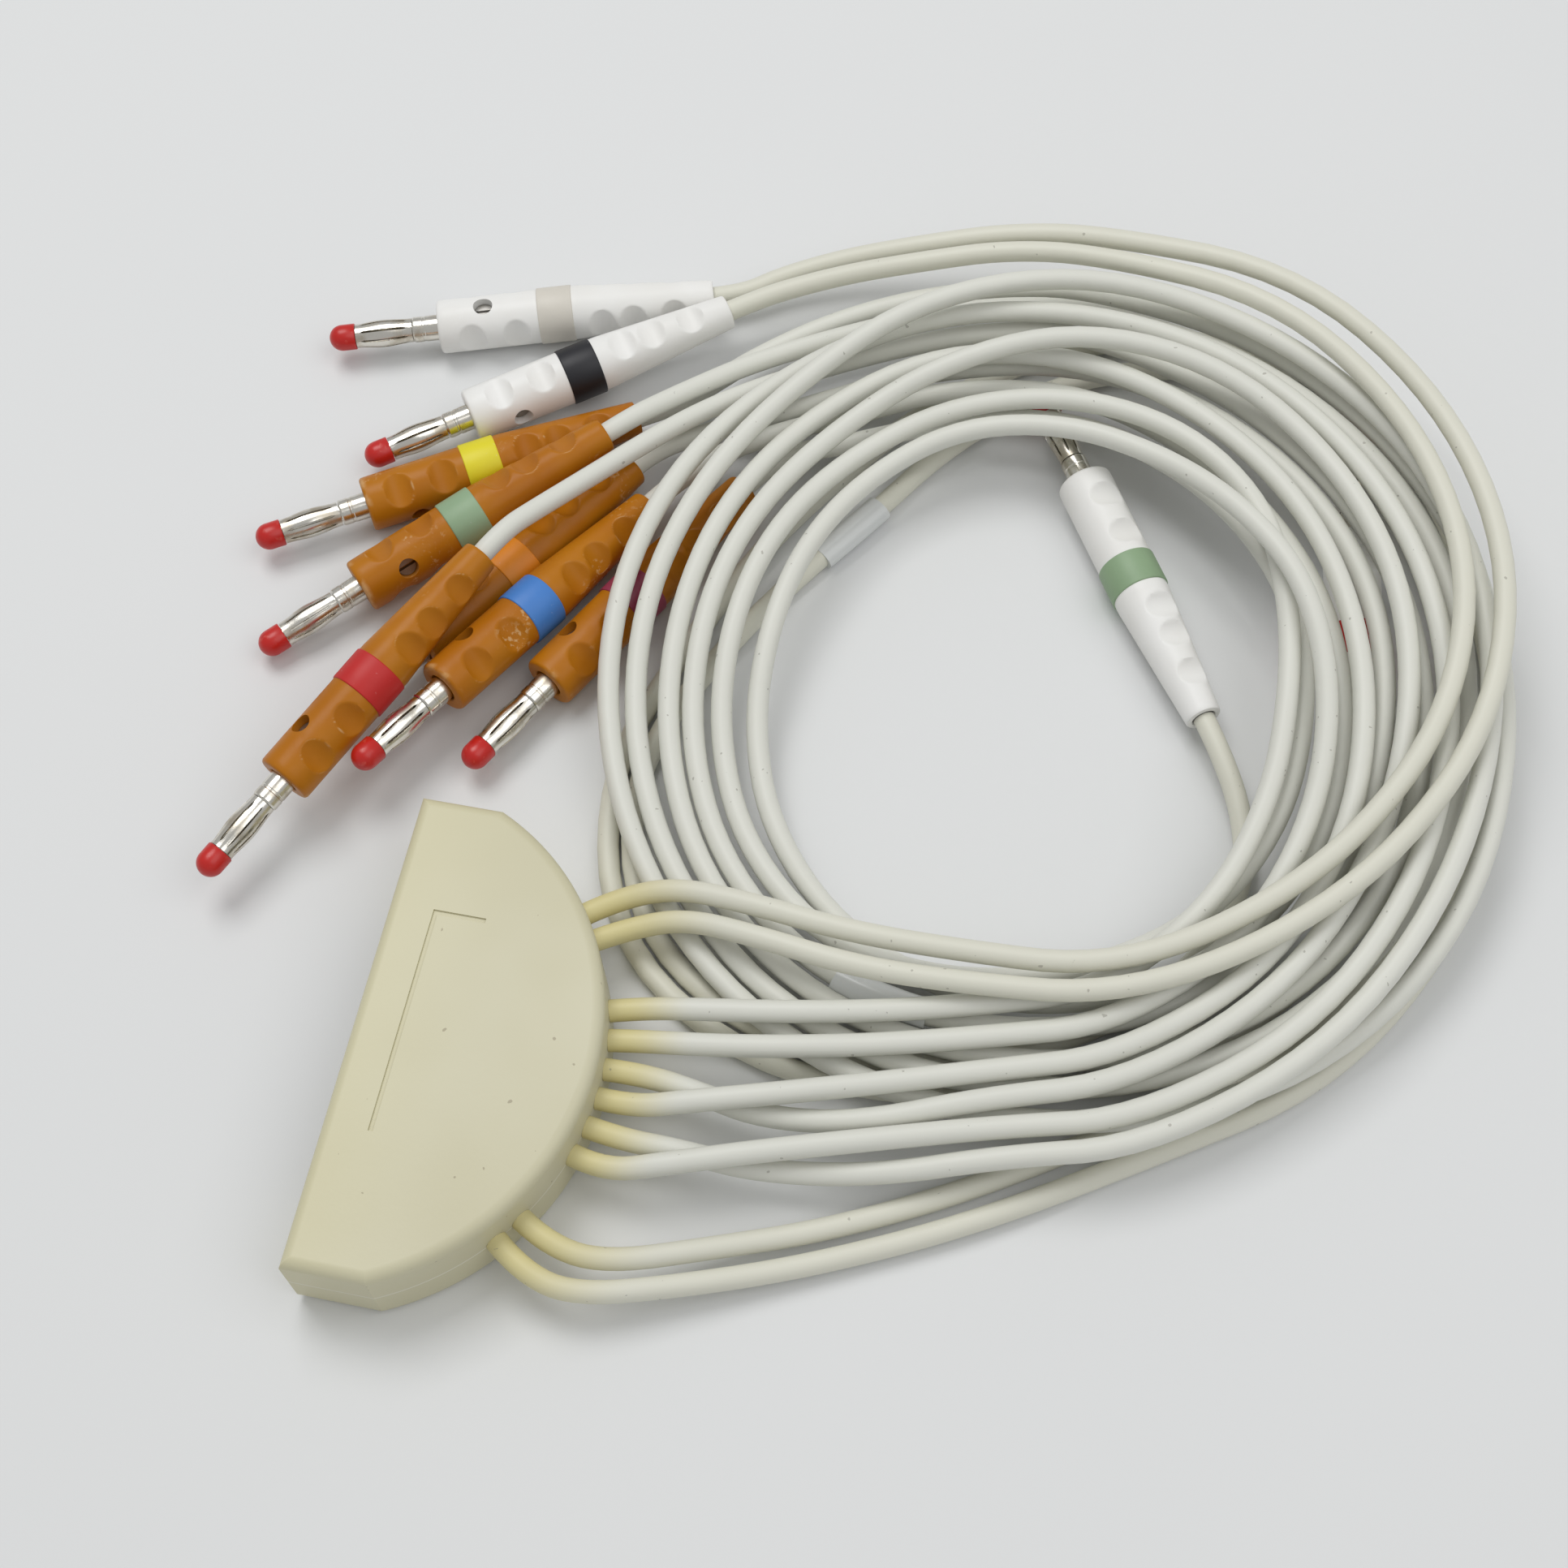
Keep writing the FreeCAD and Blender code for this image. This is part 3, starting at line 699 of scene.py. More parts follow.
def lathe(name, profile, sides):
    """A closed or open turned mesh; a profile point of radius 0 is a pole."""
    builder = bmesh.new()
    rows = []
    for radius, height in profile:
        if radius == 0:
            rows.append([builder.verts.new((0, 0, height))])
            continue
        angles = [2 * math.pi * side / sides for side in range(sides)]
        rows.append([builder.verts.new(turned(radius, angle, height)) for angle in angles])
    for low, high in zip(rows, rows[1:]):
        for side in range(sides):
            after = (side + 1) % sides
            if len(low) == 1:
                builder.faces.new((low[0], high[after], high[side]))
            elif len(high) == 1:
                builder.faces.new((low[side], low[after], high[0]))
            else:
                builder.faces.new((low[side], low[after], high[after], high[side]))
    return built_mesh(name, builder)


def smooth(mesh, angle=SHARP_CREASE):
    """Smooth shading, with creases sharper than angle kept."""
    mesh.shade_smooth()
    mesh.set_sharp_from_angle(angle=math.radians(angle))
    return mesh


def in_place(name, mesh, plug, body, material, turn=0):
    """A copy of a plug part, moved to its plug in the mesh and riding on body."""
    own = mesh.copy()
    own.transform(plug_matrix(plug) @ Matrix.Rotation(math.radians(turn), 4, "Z"))
    own.materials.clear()
    own.materials.append(material)
    piece = new_object(name, own)
    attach(piece, body)
    return piece


print("lathe ready")

# %% [markdown]
# ## Grips
#
# A grip is a moulded sleeve: a round barrel in front of the colour band and a taper
# behind it. Two lines of oval hollows give the fingers hold. A hollow is what is left
# where a round cutter crosses the sleeve. Ten Boolean cuts could make them, but it is
# lighter to set each point above the cutter's floor down on that floor. The plain
# bore for the clamp screw has a sharp edge, so that one is a Boolean cut.

# %% Grip blank
GRIP_LENGTH = 0.043
GRIP_RADIUS = 0.0041
TAPER_LENGTH = 0.021
REAR_RADIUS = 0.0026
FRONT_ROUND = 0.0011
GRIP_SIDES = 112
ROW_STEP = 0.0003
FIRST_ROW = 2
# Radius and height in millimetres, from the rear pole to the taper and from the barrel
# to the front pole.
GRIP_REAR = [(0, 1.5), (1.65, 1.5), (1.65, 0.3), (1.85, 0.0), (2.3, 0.0), (2.5, 0.08), (2.6, 0.25)]
GRIP_FRONT = [
    (4.08, 42.55), (4.0, 42.75), (3.85, 42.92), (3.6, 43.0), (2.4, 43.0), (2.25, 42.85), (2.2, 41.8),
    (0, 41.8),
]


def grip_radius(height):
    if height > TAPER_LENGTH:
        return GRIP_RADIUS
    return REAR_RADIUS + (GRIP_RADIUS - REAR_RADIUS) * height / TAPER_LENGTH


def grip_profile():
    rows = int((GRIP_LENGTH - FRONT_ROUND) / ROW_STEP)
    heights = [row * ROW_STEP for row in range(FIRST_ROW, rows + 1)]
    body = [(grip_radius(height), height) for height in heights]
    return in_metres(GRIP_REAR) + body + in_metres(GRIP_FRONT)


print("grip profile points", len(grip_profile()))

# %% Grip hollows
HOLLOW_SETBACKS = (0.0052, 0.0121, 0.0256, 0.0304, 0.0368)
HOLLOW_TURNS = (-80, 80)
HOLLOW_DEPTH = 0.00095
CUTTER_RADIUS = 0.0028
CUTTER_REACH = 0.8 * CUTTER_RADIUS
HOLLOW_SIDE = 0.36 * GRIP_RADIUS
RIM_WIDTH = 0.00012


def press_hollow(mesh, wear, setback, turn):
    """Sets points down on a hollow's floor and marks its rim as worn."""
    middle = GRIP_LENGTH - setback
    floor_top = grip_radius(middle) - HOLLOW_DEPTH
    cosine = math.cos(math.radians(turn))
    sine = math.sin(math.radians(turn))
    for vertex in mesh.vertices:
        off = vertex.co.z - middle
        outward = vertex.co.x * cosine + vertex.co.y * sine
        sideways = vertex.co.y * cosine - vertex.co.x * sine
        if abs(off) > CUTTER_REACH or outward < HOLLOW_SIDE:
            continue
        bottom = floor_top + CUTTER_RADIUS - math.sqrt(CUTTER_RADIUS ** 2 - off ** 2)
        above = outward - bottom
        wear[vertex.index] = max(wear[vertex.index], 1 - abs(above) / RIM_WIDTH)
        if above > 0:
            vertex.co.x = bottom * cosine - sideways * sine
            vertex.co.y = bottom * sine + sideways * cosine


print("hollows on a grip", len(HOLLOW_TURNS) * len(HOLLOW_SETBACKS))

# %% Grip form
SCREW_SETBACK = 0.0073
SCREW_HOLE_RADIUS = 0.0015
SCREW_FLOOR = 0.0017
BORE_LENGTH = 0.004
BORE_SIDES = 48
NOSE_START = 0.0425
NOSE_RADIUS = 0.0035
NOSE_WEAR = 0.8
GRIP_CREASE = 32
BORE_FLOOR = Matrix.Translation((SCREW_FLOOR, 0, GRIP_LENGTH - SCREW_SETBACK))
BORE_PLACE = BORE_FLOOR @ Matrix.Rotation(math.radians(90), 4, "Y")


def bore_mesh():
    profile = [(0, 0), (SCREW_HOLE_RADIUS, 0), (SCREW_HOLE_RADIUS, BORE_LENGTH), (0, BORE_LENGTH)]
    mesh = lathe("bore", profile, BORE_SIDES)
    mesh.transform(BORE_PLACE)
    return mesh


def grip_mesh():
    mesh = lathe("grip_blank", grip_profile(), GRIP_SIDES)
    wear = [0.0] * len(mesh.vertices)
    for vertex in mesh.vertices:
        if vertex.co.z > NOSE_START and vertex.co.xy.length > NOSE_RADIUS:
            wear[vertex.index] = NOSE_WEAR
    for turn in HOLLOW_TURNS:
        for setback in HOLLOW_SETBACKS:
            press_hollow(mesh, wear, setback, turn)
    marks = mesh.attributes.new("wear", "FLOAT", "POINT")
    marks.data.foreach_set("value", wear)
    blank = new_object("grip_blank", mesh)
    bore = new_object("bore", bore_mesh())
    cutter = blank.modifiers.new("bore", "BOOLEAN")
    cutter.operation = "DIFFERENCE"
    cutter.solver = "EXACT"
    cutter.object = bore
    cut_mesh = drawn_mesh(blank)
    bpy.data.objects.remove(bore)
    return smooth(cut_mesh, GRIP_CREASE)


GRIP = grip_mesh()
print("grip faces", len(GRIP.polygons))

# %% [markdown]
# ## Grip finish
#
# The chest grips are caramel-brown and the limb grips white. Both are a waxy moulded
# plastic: handling leaves pale scuffs and lighter rims round the hollows. The form
# wrote a wear value on its points, and the finish reads it, so the rubbed places stay
# on the rims. Two grips are turned a little on their own axes, so that their screw
# bores face the camera as they do in the photograph.

# %% Grip colours
GRIP_TURNS = {"V6": -25, "V4": -22}
GRIP_SPECULAR = 0.22


def grip_plastic(name, plain, deep, scuff, scuff_share):
    made, tree = new_material(name)
    point = surface_point(tree)
    broad = mask(tree, noise(tree, point, scale=95.0), low=0.3, high=0.7)
    colour = blend_colour(tree, broad, plain, deep)
    rubbed = tree.nodes.new("ShaderNodeAttribute")
    rubbed.attribute_name = "wear"
    patches = mask(tree, noise(tree, point, scale=260.0, detail=6.0), low=0.50, high=0.68)
    rims = both(tree, mask(tree, rubbed.outputs["Fac"], low=0.1, high=1.0), patches)
    colour = blend_colour(tree, scaled(tree, rims, 0.65), colour, scuff)
    fine = mask(tree, noise(tree, point, scale=1500.0, detail=6.0), low=0.54, high=0.66)
    handled = mask(tree, noise(tree, point, scale=130.0, detail=2.0), low=0.58, high=0.72)
    colour = blend_colour(tree, scaled(tree, both(tree, fine, handled), scuff_share), colour, scuff)
    grain = noise(tree, point, scale=800.0)
    shader = finish_surface(tree, colour, patches, rough=(0.36, 0.52), height=grain,
                            bump=(0.10, 0.0003))
    shader.inputs["Specular IOR Level"].default_value = GRIP_SPECULAR
    return made


BROWN = grip_plastic("brown_grip", plain=(0.480, 0.174, 0.006), deep=(0.430, 0.142, 0.005),
                     scuff=(0.70, 0.46, 0.22), scuff_share=0.7)
WHITE = grip_plastic("white_grip", plain=(0.880, 0.875, 0.850), deep=(0.845, 0.835, 0.800),
                     scuff=(0.90, 0.89, 0.87), scuff_share=0.4)
for name in PLUGS:
    limb = name in LIMBS
    in_place("grip_" + name, GRIP, name, "cable", WHITE if limb else BROWN,
                           GRIP_TURNS.get(name, 0))
    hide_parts("handle_" + name)

# %% [markdown]
# ## Clamp screws
#
# A slotted grub screw at the bottom of each bore clamps the stripped wire. Only its
# head shows, as a dull disc with a slot. The slot could be cut, but two half discs
# with a gap between them look the same and stay light.

# %% Clamp screws
SCREW_RADIUS = 0.00142
SCREW_HEIGHT = 0.0009
SLOT_HALF = 0.00022
ARC_POINTS = 17


def nickel(name, bright, dull, rough):
    made, tree = new_material(name)
    point = surface_point(tree)
    tarnish = mask(tree, noise(tree, point, scale=330.0, detail=5.0), low=0.42, high=0.70)
    colour = blend_colour(tree, tarnish, bright, dull)
    grain = noise(tree, point, scale=1400.0)
    shader = finish_surface(tree, colour, tarnish, rough, height=grain, bump=(0.05, 0.0002))
    shader.inputs["Metallic"].default_value = 1.0
    return made


def screw_mesh():
    """A disc whose head is split in two by the slot."""
    builder = bmesh.new()
    start = math.asin(SLOT_HALF / SCREW_RADIUS)
    for sign in (1, -1):
        arc = []
        for step in range(ARC_POINTS):
            angle = start + (math.pi - 2 * start) * step / (ARC_POINTS - 1)
            arc.append((SCREW_RADIUS * math.cos(angle), sign * SCREW_RADIUS * math.sin(angle)))
        low = [builder.verts.new((x, y, 0.0)) for x, y in arc]
        high = [builder.verts.new((x, y, SCREW_HEIGHT)) for x, y in arc]
        for step in range(ARC_POINTS):
            after = (step + 1) % ARC_POINTS
            builder.faces.new((low[step], low[after], high[after], high[step]))
        builder.faces.new(high)
        builder.faces.new(low)
    bmesh.ops.recalc_face_normals(builder, faces=builder.faces)
    mesh = built_mesh("screw", builder)
    mesh.transform(BORE_PLACE)
    return smooth(mesh)


NICKEL = nickel("nickel_plate", (0.80, 0.77, 0.70), (0.56, 0.50, 0.40), rough=(0.20, 0.38))
STEEL = nickel("dull_steel", (0.42, 0.41, 0.39), (0.30, 0.27, 0.22), rough=(0.38, 0.55))
SCREW = screw_mesh()
for name in PLUGS:
    in_place("clamp_screw_" + name, SCREW, name, "cable", STEEL,
                            GRIP_TURNS.get(name, 0))

# %% [markdown]
# ## Colour bands
#
# A thin sleeve on each grip tells the lead by colour. The colour could be painted on
# the grip, but a real sleeve has rounded ends that catch the light, so it is a piece
# of its own. It has small chips and an uneven gloss.

# %% Colour bands
BAND_START = 0.0220
BAND_END = 0.0274
BAND_RADIUS = 0.0043
BAND_SEAT = 0.0002
BAND_SOFT = 0.00012
BAND_SIDES = 72
BAND_COLOURS = {
    "LA": (0.010, 0.010, 0.014),
    "RA": (0.730, 0.690, 0.610),
    "V6": (0.330, 0.040, 0.090),
    "V4": (0.060, 0.230, 0.640),
    "V5": (0.830, 0.270, 0.006),
    "V1": (0.580, 0.012, 0.010),
    "V3": (0.300, 0.440, 0.265),
    "V2": (0.830, 0.730, 0.015),
    "RL": (0.290, 0.420, 0.250),
    "LL": (0.560, 0.014, 0.012),
}


def band_mesh():
    inner = GRIP_RADIUS - BAND_SEAT
    rim = BAND_RADIUS - BAND_SOFT
    shoulder = BAND_RADIUS - 0.3 * BAND_SOFT
    profile = [
        (inner, BAND_START),
        (rim, BAND_START),
        (shoulder, BAND_START + 0.4 * BAND_SOFT),
        (BAND_RADIUS, BAND_START + 1.5 * BAND_SOFT),
        (BAND_RADIUS, BAND_END - 1.5 * BAND_SOFT),
        (shoulder, BAND_END - 0.4 * BAND_SOFT),
        (rim, BAND_END),
        (inner, BAND_END),
    ]
    return smooth(lathe("band", profile, BAND_SIDES), SOFT_CREASE)


def band_ink(name, ink):
    made, tree = new_material("band_" + name)
    point = surface_point(tree)
    broad = noise(tree, point, scale=220.0, detail=4.0)
    colour = blend_colour(tree, broad, ink, darker(ink, 0.86))
    chips = spots(tree, point, scale=1300.0, detail=3.0, low=0.70, high=0.76, strength=0.5)
    colour = blend_colour(tree, chips, colour, [0.6 * value + 0.25 for value in ink])
    grain = noise(tree, point, scale=900.0)
    finish_surface(tree, colour, broad, rough=(0.40, 0.55), height=grain, bump=(0.08, 0.0002))
    return made


BAND = band_mesh()
for name, ink in BAND_COLOURS.items():
    in_place("colour_band_" + name, BAND, name, "cable", band_ink(name, ink))
    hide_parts("id_bands")

# %% [markdown]
# ## Pins
#
# The pin is turned brass with nickel plate: a smooth collar against the grip, a fine
# groove near it, and a thinner core that carries the spring cage. One profile gives
# all of it. The core's darker colour is painted shade, for the cage's shadow on it.

# %% Pins
CORE_START = 0.0472
PIN_SIDES = 56
PIN_CREASE = 30
# Radius and height in millimetres, from the pole in the grip to the one in the tip.
PIN_PROFILE = [
    (0, 41.5), (1.95, 41.5), (1.95, 45.1), (1.88, 45.2), (1.88, 45.5), (1.95, 45.6), (1.95, 46.85),
    (1.8, 47.1), (1.25, 47.1), (1.25, 57.0), (0, 57.0),
]


def pin_mesh():
    mesh = lathe("pin", in_metres(PIN_PROFILE), PIN_SIDES)
    # Core faces take the second slot, whose darker colour is painted shade.
    for face in mesh.polygons:
        if face.center.z > CORE_START:
            face.material_index = 1
    return smooth(mesh, PIN_CREASE)


# Painted shade: the core's dark colours stand in for the cage's shadow on it.
PAINTED_SHADE_CORE = nickel("core_shade", (0.20, 0.18, 0.15), (0.12, 0.10, 0.08), rough=(0.40, 0.60))
PIN = pin_mesh()
pins = {}
for name in PLUGS:
    pins[name] = in_place("pin_" + name, PIN, name, "cable", NICKEL)
    pins[name].data.materials.append(PAINTED_SHADE_CORE)
    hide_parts("plug_pins")
print("pins", len(pins))

# %% [markdown]
# ## Leaf cages
#
# The spring is a strip cut into leaves, rolled round the core and bowed out, so that
# it grips a socket of any make. One leaf is drawn, and a node group stands copies of
# it round the axis, which is how the press tool repeats it too.

# %% One leaf
CAGE_START = 0.0472
CAGE_END = 0.0560
LEAVES = 8
LEAF_THICK = 0.00028
LEAF_GAP = 0.00036
LEAF_ROWS = 28
LEAF_STEPS = 6
CAGE_LOW = 0.00182
CAGE_HIGH = 0.00212
# Shares of the cage's length, from its start to its end.
BOW_START = 0.04
BOW_TOP = 0.52
BOW_END = 0.98
SLIT_OPENS = (0.09, 0.13)
SLIT_CLOSES = (0.87, 0.91)


def bow(share):
    """The leaf's outer radius along the cage, 0 at its start and 1 at its end."""
    lift = ease(share, BOW_START, BOW_TOP) * (1 - ease(share, BOW_TOP, BOW_END))
    return CAGE_LOW + (CAGE_HIGH - CAGE_LOW) * lift


def leaf_row(builder, share, inset):
    """Points across one leaf, which meets its neighbours at both ends of the cage."""
    radius = bow(share) - inset
    height = CAGE_START + (CAGE_END - CAGE_START) * share
    closed = 1 - ease(share, *SLIT_OPENS) * (1 - ease(share, *SLIT_CLOSES))
    half = math.pi / LEAVES - 0.5 * LEAF_GAP / bow(share) * (1 - closed)
    angles = [half * (2 * step / LEAF_STEPS - 1) for step in range(LEAF_STEPS + 1)]
    return [builder.verts.new(turned(radius, angle, height)) for angle in angles]


def leaf_mesh():
    builder = bmesh.new()
    shares = [row / LEAF_ROWS for row in range(LEAF_ROWS + 1)]
    outer = [leaf_row(builder, share, 0.0) for share in shares]
    inner = [leaf_row(builder, share, LEAF_THICK) for share in shares]
    for row in range(LEAF_ROWS):
        top, next_top = outer[row], outer[row + 1]
        under, next_under = inner[row], inner[row + 1]
        for step in range(LEAF_STEPS):
            after = step + 1
            builder.faces.new((top[step], top[after], next_top[after], next_top[step]))
            builder.faces.new((under[step], next_under[step], next_under[after], under[after]))
        for edge in (0, LEAF_STEPS):
            builder.faces.new((top[edge], next_top[edge], next_under[edge], under[edge]))
    for row in (0, LEAF_ROWS):
        top, under = outer[row], inner[row]
        for step in range(LEAF_STEPS):
            builder.faces.new((top[step], top[step + 1], under[step + 1], under[step]))
    bmesh.ops.recalc_face_normals(builder, faces=builder.faces)
    return smooth(built_mesh("leaf", builder), SOFT_CREASE)


leaf = new_object("leaf", leaf_mesh())
print("leaf faces", len(leaf.data.polygons))

# %% Cage node group


def ring_group():
    """Copies of one object round Z: inputs Leaf and Count, output the realized copies."""
    group = bpy.data.node_groups.new("leaf_ring", "GeometryNodeTree")
    face = group.interface
    face.new_socket("Geometry", in_out="INPUT", socket_type="NodeSocketGeometry")
    face.new_socket("Leaf", in_out="INPUT", socket_type="NodeSocketObject")
    face.new_socket("Count", in_out="INPUT", socket_type="NodeSocketInt")
    face.new_socket("Finish", in_out="INPUT", socket_type="NodeSocketMaterial")
    face.new_socket("Geometry", in_out="OUTPUT", socket_type="NodeSocketGeometry")
    add = group.nodes.new
    link = group.links.new
    entry = add("NodeGroupInput")
    leave = add("NodeGroupOutput")
    spots = add("GeometryNodePoints")
    link(entry.outputs["Count"], spots.inputs["Count"])
    index = add("GeometryNodeInputIndex")
    turn = add("ShaderNodeMath")
    turn.operation = "DIVIDE"
    link(index.outputs["Index"], turn.inputs[0])
    link(entry.outputs["Count"], turn.inputs[1])
    angle = add("ShaderNodeMath")
    angle.operation = "MULTIPLY"
    angle.inputs[1].default_value = 2 * math.pi
    link(turn.outputs["Value"], angle.inputs[0])
    rotation = add("ShaderNodeCombineXYZ")
    link(angle.outputs["Value"], rotation.inputs["Z"])
    source = add("GeometryNodeObjectInfo")
    link(entry.outputs["Leaf"], source.inputs["Object"])
    copies = add("GeometryNodeInstanceOnPoints")
    link(spots.outputs[0], copies.inputs["Points"])
    link(source.outputs["Geometry"], copies.inputs["Instance"])
    link(rotation.outputs["Vector"], copies.inputs["Rotation"])
    real = add("GeometryNodeRealizeInstances")
    link(copies.outputs["Instances"], real.inputs["Geometry"])
    paint = add("GeometryNodeSetMaterial")
    link(real.outputs["Geometry"], paint.inputs["Geometry"])
    link(entry.outputs["Finish"], paint.inputs["Material"])
    link(paint.outputs["Geometry"], leave.inputs["Geometry"])
    return group


def socket_id(group, name):
    for item in group.interface.items_tree:
        if item.name == name and item.in_out == "INPUT":
            return item.identifier


def cage_mesh():
    group = ring_group()
    holder = new_object("cage_holder", bpy.data.meshes.new("cage_holder"))
    ring = holder.modifiers.new("ring", "NODES")
    ring.node_group = group
    ring[socket_id(group, "Leaf")] = leaf
    ring[socket_id(group, "Count")] = LEAVES
    ring[socket_id(group, "Finish")] = NICKEL
    return drawn_mesh(holder)


CAGE = cage_mesh()
bpy.data.objects.remove(leaf)
for name in PLUGS:
    in_place("leaf_cage_" + name, CAGE, name, "spring_" + name, NICKEL)
    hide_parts("cage_" + name)

# %% [markdown]
# ## Tips
#
# A red moulded bead closes the pin and holds the cage on. It is a short stub under a
# half ball, glossier than the grips. A ball and a cylinder could be joined, but one
# turned profile gives both without a seam.

# %% Tips
TIP_START = 0.0561
TIP_RADIUS = 0.0020
TIP_LENGTH = 0.0041
TIP_EDGE = 0.0001
TIP_STEPS = 14
TIP_SIDES = 48


def tip_mesh():
    ball = TIP_START + TIP_LENGTH - TIP_RADIUS
    profile = [
        (0, TIP_START),
        (TIP_RADIUS - TIP_EDGE, TIP_START),
        (TIP_RADIUS, TIP_START + TIP_EDGE),
        (TIP_RADIUS, ball),
    ]
    for step in range(1, TIP_STEPS):
        angle = math.radians(90 * step / TIP_STEPS)
        profile.append((TIP_RADIUS * math.cos(angle), ball + TIP_RADIUS * math.sin(angle)))
    profile.append((0, TIP_START + TIP_LENGTH))
    return smooth(lathe("tip", profile, TIP_SIDES), SOFT_CREASE)


def bead_plastic():
    made, tree = new_material("red_bead")
    point = surface_point(tree)
    broad = noise(tree, point, scale=400.0, detail=3.0)
    colour = blend_colour(tree, broad, (0.620, 0.018, 0.012), (0.480, 0.012, 0.010))
    worn = spots(tree, point, scale=900.0, detail=4.0, low=0.60, high=0.72, strength=0.35)
    colour = blend_colour(tree, worn, colour, (0.72, 0.16, 0.12))
    grain = noise(tree, point, scale=700.0)
    finish_surface(tree, colour, broad, rough=(0.25, 0.38), height=grain, bump=(0.10, 0.0003))
    return made


TIP = tip_mesh()
BEAD = bead_plastic()
for name in PLUGS:
    in_place("bead_" + name, TIP, name, "cable", BEAD)
    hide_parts("plug_tips")

# %% [markdown]
# ## The block
#
# Two moulded shells meet half-way up the wall. They could be drawn again, but the
# solids have the right form. So they keep it and get an aged ivory plastic: faint
# mottling, a fine moulded grain and a few dark specks. The line where they meet is
# painted paler: painted light over the groove's shade.

# %% Block finish
BLOCK_PLAIN = (0.640, 0.610, 0.440)
BLOCK_DEEP = (0.600, 0.565, 0.385)
BLOCK_YELLOWED = (0.665, 0.620, 0.390)
BLOCK_SPECK = (0.24, 0.19, 0.11)
SEAM_PAINTED_LIGHT = (0.78, 0.76, 0.66)
SEAM_HEIGHT = 0.0070
SEAM_HALF = 0.00016


def ivory_plastic():
    made, tree = new_material("ivory_block")
    point = surface_point(tree)
    broad = noise(tree, point, scale=26.0)
    colour = blend_colour(tree, mask(tree, broad, low=0.3, high=0.7), BLOCK_PLAIN, BLOCK_DEEP)
    parts = tree.nodes.new("ShaderNodeSeparateXYZ")
    tree.links.new(point, parts.inputs["Vector"])
    yellowed = scaled(tree, mask(tree, parts.outputs["X"], low=0.004, high=-0.020), 0.55)
    colour = blend_colour(tree, yellowed, colour, BLOCK_YELLOWED)
    specks = spots(tree, point, scale=640.0, detail=1.0, low=0.770, high=0.790, strength=0.55)
    colour = blend_colour(tree, specks, colour, BLOCK_SPECK)
    # Painted light: the band where the shells meet is lightened to lift the groove's shade.
    seam = tree.nodes.new("ShaderNodeMath")
    seam.operation = "COMPARE"
    seam.inputs[1].default_value = SEAM_HEIGHT
    seam.inputs[2].default_value = SEAM_HALF
    tree.links.new(parts.outputs["Z"], seam.inputs[0])
    colour = blend_colour(tree, scaled(tree, seam.outputs["Value"], 0.7), colour, SEAM_PAINTED_LIGHT)
    grain = noise(tree, point, scale=1100.0)
    finish_surface(tree, colour, broad, rough=(0.40, 0.52), height=grain, bump=(0.10, 0.0002))
    return made


def paint(node_name, material):
    data = nodes[node_name].data
    data.materials.clear()
    data.materials.append(material)


IVORY_BLOCK = ivory_plastic()
paint("housing_lower", IVORY_BLOCK)
paint("housing_upper", IVORY_BLOCK)
print("shells painted")

# %% [markdown]
# ## The connector
#
# In the straight side sits a dark moulded insert with gilt contacts. The photograph
# doesn't show it, so it gets the two usual finishes and nothing more.

# %% Connector finish
INSERT_COLOURS = ((0.020, 0.020, 0.022), (0.035, 0.034, 0.032))
GILT_COLOURS = ((0.80, 0.60, 0.24), (0.66, 0.46, 0.16))

dark_insert = mottled("dark_insert", INSERT_COLOURS, scale=120.0, rough=(0.45, 0.6), grain=900.0,
                      bump=(0.15, 0.0002))
gilt_contact = mottled("gilt_contact", GILT_COLOURS, scale=300.0, rough=(0.22, 0.36), grain=1200.0,
                       bump=(0.05, 0.0001))
gilt_contact.node_tree.nodes[SHADER].inputs["Metallic"].default_value = 1.0
paint("contact_block", dark_insert)
paint("contact_pins", gilt_contact)
print("connector painted")

# %% [markdown]
# ## Label sleeves
#
# Two leads carry a short milky sleeve, a flattened tube pushed on over the jacket. A
# curve's round bevel couldn't be oval, so an oval ring is carried along the lead's own
# line.

# %% Label sleeves
SLEEVE_WIDE = 0.0022
SLEEVE_HIGH = 0.0016
SLEEVE_LENGTH = 0.010
SLEEVE_SIDES = 28
SLEEVE_SPOTS = {"RL": (0.0250, 0.1000, 0.0016), "V5": (0.0500, 0.0188, 0.0052)}
SLEEVE_COLOURS = ((0.740, 0.755, 0.750), (0.660, 0.675, 0.665))
SLEEVE_COAT = 0.3


def nearest(path, spot):
    gaps = [(place - Vector(spot)).length for place in path]
    return gaps.index(min(gaps))


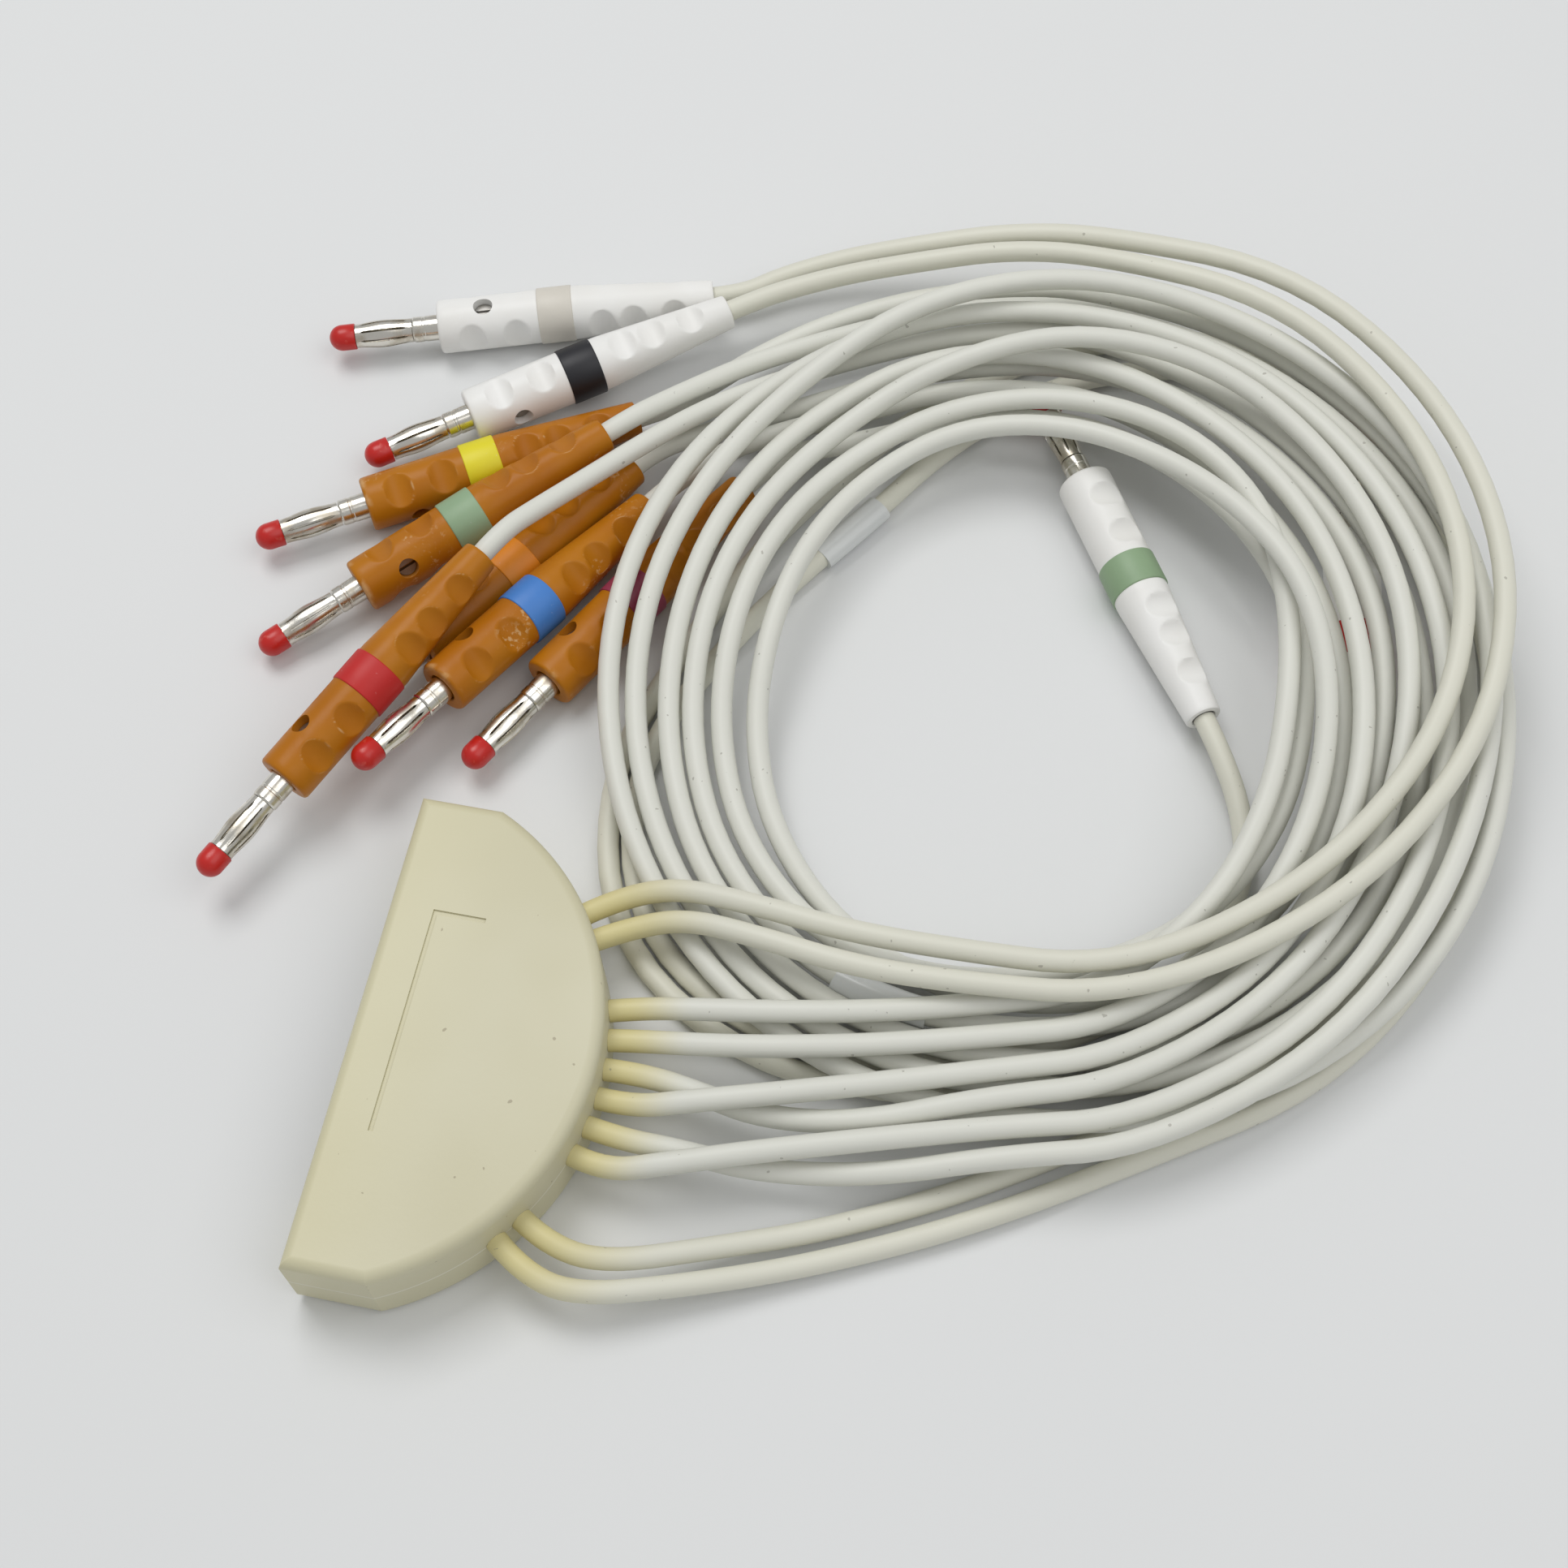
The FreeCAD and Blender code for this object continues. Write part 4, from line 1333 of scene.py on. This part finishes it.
def sleeve_end(path, middle, step):
    """The first point of the lead's line that is half a sleeve from its middle."""
    index = middle
    while (path[index] - path[middle]).length < SLEEVE_LENGTH / 2:
        index += step
    return index


def sleeve_rings(path, first, last):
    """Oval rings round the lead's line, closed on to the jacket at both ends."""
    jacket_ring = (LEAD_DIAMETER / 2, LEAD_DIAMETER / 2)
    angles = [2 * math.pi * side / SLEEVE_SIDES for side in range(SLEEVE_SIDES)]
    rings = []
    for index in range(first, last + 1):
        way = (path[index + 1] - path[index - 1]).normalized()
        sideways = way.cross(UP).normalized()
        upright = sideways.cross(way)
        ovals = [(SLEEVE_WIDE, SLEEVE_HIGH)]
        if index == first:
            ovals.insert(0, jacket_ring)
        if index == last:
            ovals.append(jacket_ring)
        for wide, high in ovals:
            rings.append([
                path[index] + sideways * wide * math.cos(angle) + upright * high * math.sin(angle)
                for angle in angles
            ])
    return rings


def sleeve_mesh(rings):
    builder = bmesh.new()
    rows = [[builder.verts.new(spot) for spot in ring] for ring in rings]
    for low_row, high_row in zip(rows, rows[1:]):
        for side in range(SLEEVE_SIDES):
            after = (side + 1) % SLEEVE_SIDES
            builder.faces.new((low_row[side], low_row[after], high_row[after], high_row[side]))
    bmesh.ops.recalc_face_normals(builder, faces=builder.faces)
    return smooth(built_mesh("sleeve", builder), SOFT_CREASE)


MILKY = mottled("milky_sleeve", SLEEVE_COLOURS, scale=150.0, rough=(0.22, 0.36), grain=350.0,
                bump=(0.15, 0.0004), detail=4.0)
MILKY.node_tree.nodes[SHADER].inputs["Coat Weight"].default_value = SLEEVE_COAT
sleeves = {}
for name, spot in SLEEVE_SPOTS.items():
    path = paths[name]
    middle = nearest(path, spot)
    rings = sleeve_rings(path, sleeve_end(path, middle, -1), sleeve_end(path, middle, 1))
    mesh = sleeve_mesh(rings)
    mesh.materials.append(MILKY)
    sleeves[name] = new_object("label_sleeve_" + name, mesh)
    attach(sleeves[name], "cable")
print("sleeves", len(sleeves))

# %% [markdown]
#
# The leads lie in the coil as they were drawn above; this cell only counts them.

# %% Cords
print("cords", len(leads))
